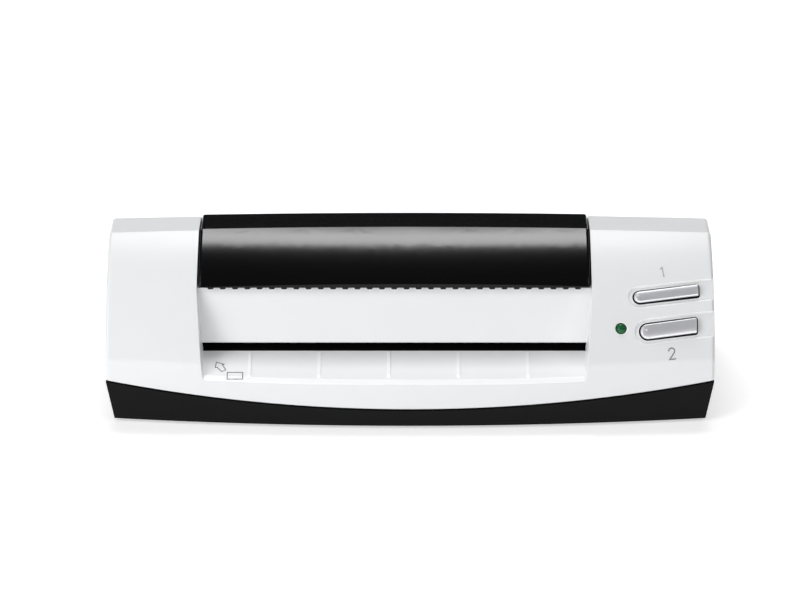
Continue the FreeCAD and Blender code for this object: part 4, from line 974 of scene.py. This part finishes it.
class SCANNER_OT_soft_and_clear(Operator):
    """Give rubber, glass, boards, cables and the lamp their finishes"""

    bl_idname = "scanner.soft_and_clear"
    bl_label = "Rubber, glass and boards"

    def execute(self, context):
        look = context.scene.scanner_finish
        dress(moulded_rubber("matt_rubber", slot_colour("rubber")), *nodes_in_slot("rubber"))
        dress(float_glass("float_glass"), *nodes_in_slot("sensor_glass"))
        dress(solder_mask("solder_mask", slot_colour("board_green")), *nodes_in_slot("board_green"))
        dress(flat_cable("flat_cable", slot_colour("ribbon")), *nodes_in_slot("ribbon"))
        top = node_points("status_lamp")[:, 2].max()
        # Between these heights the lens turns from the painted glow of its foot to its own tint
        painted_glow_end, tinted_end = top - 3.2 * mm, top - 1.6 * mm
        dress(lamp_lens("green_resin", look.lamp_colour, painted_glow_end, tinted_end), "status_lamp")
        return {"FINISHED"}


class SCANNER_OT_keys(Operator):
    """Make the two silver keys with rounded edges and a crowned face"""

    bl_idname = "scanner.keys"
    bl_label = "Keys"

    def execute(self, context):
        look, detail = context.scene.scanner_finish, context.scene.scanner_detail
        silver = silver_paint("silver_paint", look.key_colour)
        # Bare dark plastic for the key walls and stems, which also gives a painted shade in the gap round each key
        plastic = moulded("key_plastic", look.base_colour, 0.55)
        for node in ("upper_key", "lower_key"):
            to_world, length, height, foot = key_frame(node, detail.key_corner)
            cap = key_surface(length, height, detail, to_world, silver, plastic)
            stem = turned([(0, foot), (stem_radius, foot), (stem_radius, -stem_depth), (0, -stem_depth)],
                          detail.ring_steps, to_world, plastic)
            dot = tactile_dot(length, height, detail.dot_radius, to_world, silver)
            piece = make_piece(node + "_cap", [*cap, stem, dot], node)
            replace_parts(piece, node)
        return {"FINISHED"}


class SCANNER_OT_screws(Operator):
    """Make the screws with cross recesses and threads, and the rubber feet"""

    bl_idname = "scanner.screws"
    bl_label = "Screws and feet"

    def execute(self, context):
        detail = context.scene.scanner_detail
        zinc = brushed_metal("zinc_plate", slot_colour("zinc_screw"), 0.33, (1.0, 1.0, 1.0))
        for node, way in screw_ways.items():
            surfaces = []
            for points in node_solids(node):
                surfaces += screw_surfaces(points, way, detail, zinc)
            body = "cover" if node == "cover_screws" else "case"
            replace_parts(make_piece(node + "_cut", surfaces, body), node)
        rubber = moulded_rubber("foot_rubber", slot_colour("rubber"))
        feet = [foot_surface(points, detail.ring_steps, rubber) for points in node_solids("rubber_feet")]
        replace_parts(make_piece("grooved_feet", feet, "case"), "rubber_feet")
        return {"FINISHED"}


class SCANNER_OT_terminals(Operator):
    """Add the legs of the chips and the contacts in the socket"""

    bl_idname = "scanner.terminals"
    bl_label = "Legs and contacts"

    def execute(self, context):
        tin = brushed_metal("tinned_legs", slot_colour("steel"), 0.25, (1.0, 1.0, 1.0))
        gold = brushed_metal("gold_contacts", (0.83, 0.6, 0.26), 0.2, (1.0, 0.1, 1.0))
        legs = []
        for points in node_solids("main_board_parts"):
            low, high = points.min(axis=0), points.max(axis=0)
            size = high - low
            if size[0] > big_chip:
                legs += leg_surfaces(low, high, (0, 1, 2, 3), fine_pitch, tin)
            elif size[2] < flat_chip:
                legs += leg_surfaces(low, high, (1, 3), coarse_pitch, tin)
        make_piece("chip_legs", legs, "case")
        socket = node_points("usb_socket")
        low, high = socket.min(axis=0), socket.max(axis=0)
        middle, under = (low[0] + high[0]) / 2, low[2] + 1.7 * mm
        inner, outer = high[1] - 6.4 * mm, high[1] - 1.0 * mm
        foot, top = under - 0.08 * mm, under + 0.05 * mm
        count, pitch, half_width = 5, 0.8 * mm, 0.15 * mm
        blades = []
        for place in np.arange(count) - (count - 1) / 2:
            x = middle + place * pitch
            blades.append(box_surface((x - half_width, inner, foot), (x + half_width, outer, top), gold))
        make_piece("socket_contacts", blades, "case")
        return {"FINISHED"}


class SCANNER_OT_marks(Operator):
    """Print the plain numerals beside the keys, and the card and arrow on the entry slope"""

    bl_idname = "scanner.marks"
    bl_label = "Printed marks"

    def execute(self, context):
        look, detail = context.scene.scanner_finish, context.scene.scanner_detail
        numeral_spacing, outline_spacing = 0.2 * mm, 0.25 * mm
        numerals = (
            ("upper_numeral", upper_numeral_at, numeral_one, look.upper_label_colour),
            ("lower_numeral", lower_numeral_at, numeral_two, look.lower_label_colour))
        for name, at, line, colour in numerals:
            corners = np.array(line) * detail.label_height
            strokes = [stroke(corners, detail.stroke_width, numeral_spacing)]
            printed(name, strokes, pod_frame(at), detail.print_height, printed_ink(name + "_ink", colour))
        point, normal = cast_down("upper_casing", card_mark_at[0] * mm, card_mark_at[1] * mm)
        strokes = []
        for corners in (arrow_corners, card_corners):
            flat = (np.array(corners) - card_mark_at) * mm / (1.0, normal.z)
            strokes.append(stroke(flat, detail.outline_width, outline_spacing, closed=True))
        printed("card_mark", strokes, frame_at(point, (1, 0, 0), normal), detail.print_height,
                printed_ink("mark_ink", look.mark_colour))
        return {"FINISHED"}


def area_lamp(name, power, size, direction, distance):
    """A square or oblong lamp that faces the scanner's middle from a direction."""
    middle_height = 20 * mm
    data = bpy.data.lights.new(name, "AREA")
    data.shape = "RECTANGLE"
    data.size, data.size_y = size
    data.energy = power
    lamp = bpy.data.objects.new(name, data)
    bpy.context.scene.collection.objects.link(lamp)
    away = Vector(direction).normalized()
    lamp.location = Vector((0, 0, middle_height)) + away * distance
    lamp.rotation_euler = away.to_track_quat("Z", "Y").to_euler()


def white_floor(studio):
    """A floor that takes the scanner's shadow and looks white to the camera and in gloss, also far from the
    lamps: there its own white takes over from theirs."""
    lit_radius = 0.3
    paint = Paint.material("white_floor")
    path = paint.node("ShaderNodeLightPath", output="Is Camera Ray")
    gloss = paint.node("ShaderNodeLightPath", output="Is Glossy Ray")
    away = paint.node("ShaderNodeVectorMath", {"operation": "LENGTH"}, {0: paint.place()}, "Value")
    far = (away - lit_radius).clamp()
    glow = path * (far * (1.0 - studio.floor_glow) + studio.floor_glow) + gloss * studio.floor_sheen
    return paint.finish({
        "Base Color": studio.floor_colour, "Roughness": 0.9, "Specular IOR Level": 0.0,
        "Emission Color": (1.0, 1.0, 1.0), "Emission Strength": glow})


def studio_world(studio):
    """A backdrop that is white to the camera and gives the scene only a faint light."""
    paint = Paint(bpy.data.worlds.new("studio"), "Background")
    path = paint.node("ShaderNodeLightPath", output="Is Camera Ray")
    return paint.finish({
        "Color": (1.0, 1.0, 1.0), "Strength": path * (1.0 - studio.world_light) + studio.world_light})


class SCANNER_OT_studio(Operator):
    """Set up the pale floor, the soft lamps and the camera"""

    bl_idname = "scanner.studio"
    bl_label = "Studio"

    def execute(self, context):
        studio = context.scene.scanner_studio
        reach = 4.0
        side = np.linspace(-reach, reach, 2)
        grid = np.stack(np.meshgrid(side, side, [0.0], indexing="ij"), axis=-1).reshape(-1, 3)
        floor = new_piece("floor", grid, np.array([(0, 2, 3, 1)]), [white_floor(studio)])
        for name, power, size, way, distance in lamps:
            area_lamp(name, getattr(studio, power), size, way, distance)
        context.scene.world = studio_world(studio)
        self.place_camera(context, studio)
        context.scene.view_settings.view_transform = "Standard"
        return {"FINISHED"}

    def place_camera(self, context, studio):
        data = bpy.data.cameras.new("camera")
        data.sensor_width = 36.0
        data.lens = studio.lens
        data.shift_x = studio.shift_right
        data.shift_y = studio.shift_up
        camera = bpy.data.objects.new("camera", data)
        context.scene.collection.objects.link(camera)
        back, rise = math.cos(studio.elevation), math.sin(studio.elevation)
        camera.location = (0, -studio.distance * back, studio.aim_height + studio.distance * rise)
        camera.rotation_euler = (math.pi / 2 - studio.elevation, 0, 0)
        context.scene.camera = camera


class SCANNER_PT_panel(Panel):
    """The scanner's settings and the steps that make it."""

    bl_idname = "SCANNER_PT_panel"
    bl_label = "Card Scanner"
    bl_space_type = "VIEW_3D"
    bl_region_type = "UI"
    bl_category = "Card Scanner"

    def draw(self, context):
        layout = self.layout
        groups_shown = {
            "Finish": context.scene.scanner_finish,
            "Detail": context.scene.scanner_detail,
            "Studio": context.scene.scanner_studio,
        }
        for title, group in groups_shown.items():
            box = layout.box()
            box.label(text=title)
            for name in group.__annotations__:
                box.prop(group, name)
        for operator in operators:
            layout.operator(operator.bl_idname)


operators = (
    SCANNER_OT_mouldings,
    SCANNER_OT_metals,
    SCANNER_OT_soft_and_clear,
    SCANNER_OT_keys,
    SCANNER_OT_screws,
    SCANNER_OT_terminals,
    SCANNER_OT_marks,
    SCANNER_OT_studio,
)
groups = (ScannerFinish, ScannerDetail, ScannerStudio)


def register():
    """Makes the settings, steps and panel known."""
    for entry in (*groups, *operators, SCANNER_PT_panel):
        bpy.utils.register_class(entry)
    bpy.types.Scene.scanner_finish = PointerProperty(type=ScannerFinish)
    bpy.types.Scene.scanner_detail = PointerProperty(type=ScannerDetail)
    bpy.types.Scene.scanner_studio = PointerProperty(type=ScannerStudio)


def unregister():
    """Takes away what register() made, in reverse."""
    del bpy.types.Scene.scanner_studio
    del bpy.types.Scene.scanner_detail
    del bpy.types.Scene.scanner_finish
    for entry in reversed((*groups, *operators, SCANNER_PT_panel)):
        bpy.utils.unregister_class(entry)


def main():
    """Finishes the scanner step by step."""
    register()
    bpy.ops.scanner.mouldings()
    bpy.ops.scanner.metals()
    bpy.ops.scanner.soft_and_clear()
    bpy.ops.scanner.keys()
    bpy.ops.scanner.screws()
    bpy.ops.scanner.terminals()
    bpy.ops.scanner.marks()
    bpy.ops.scanner.studio()


if __name__ == "__main__":
    main()
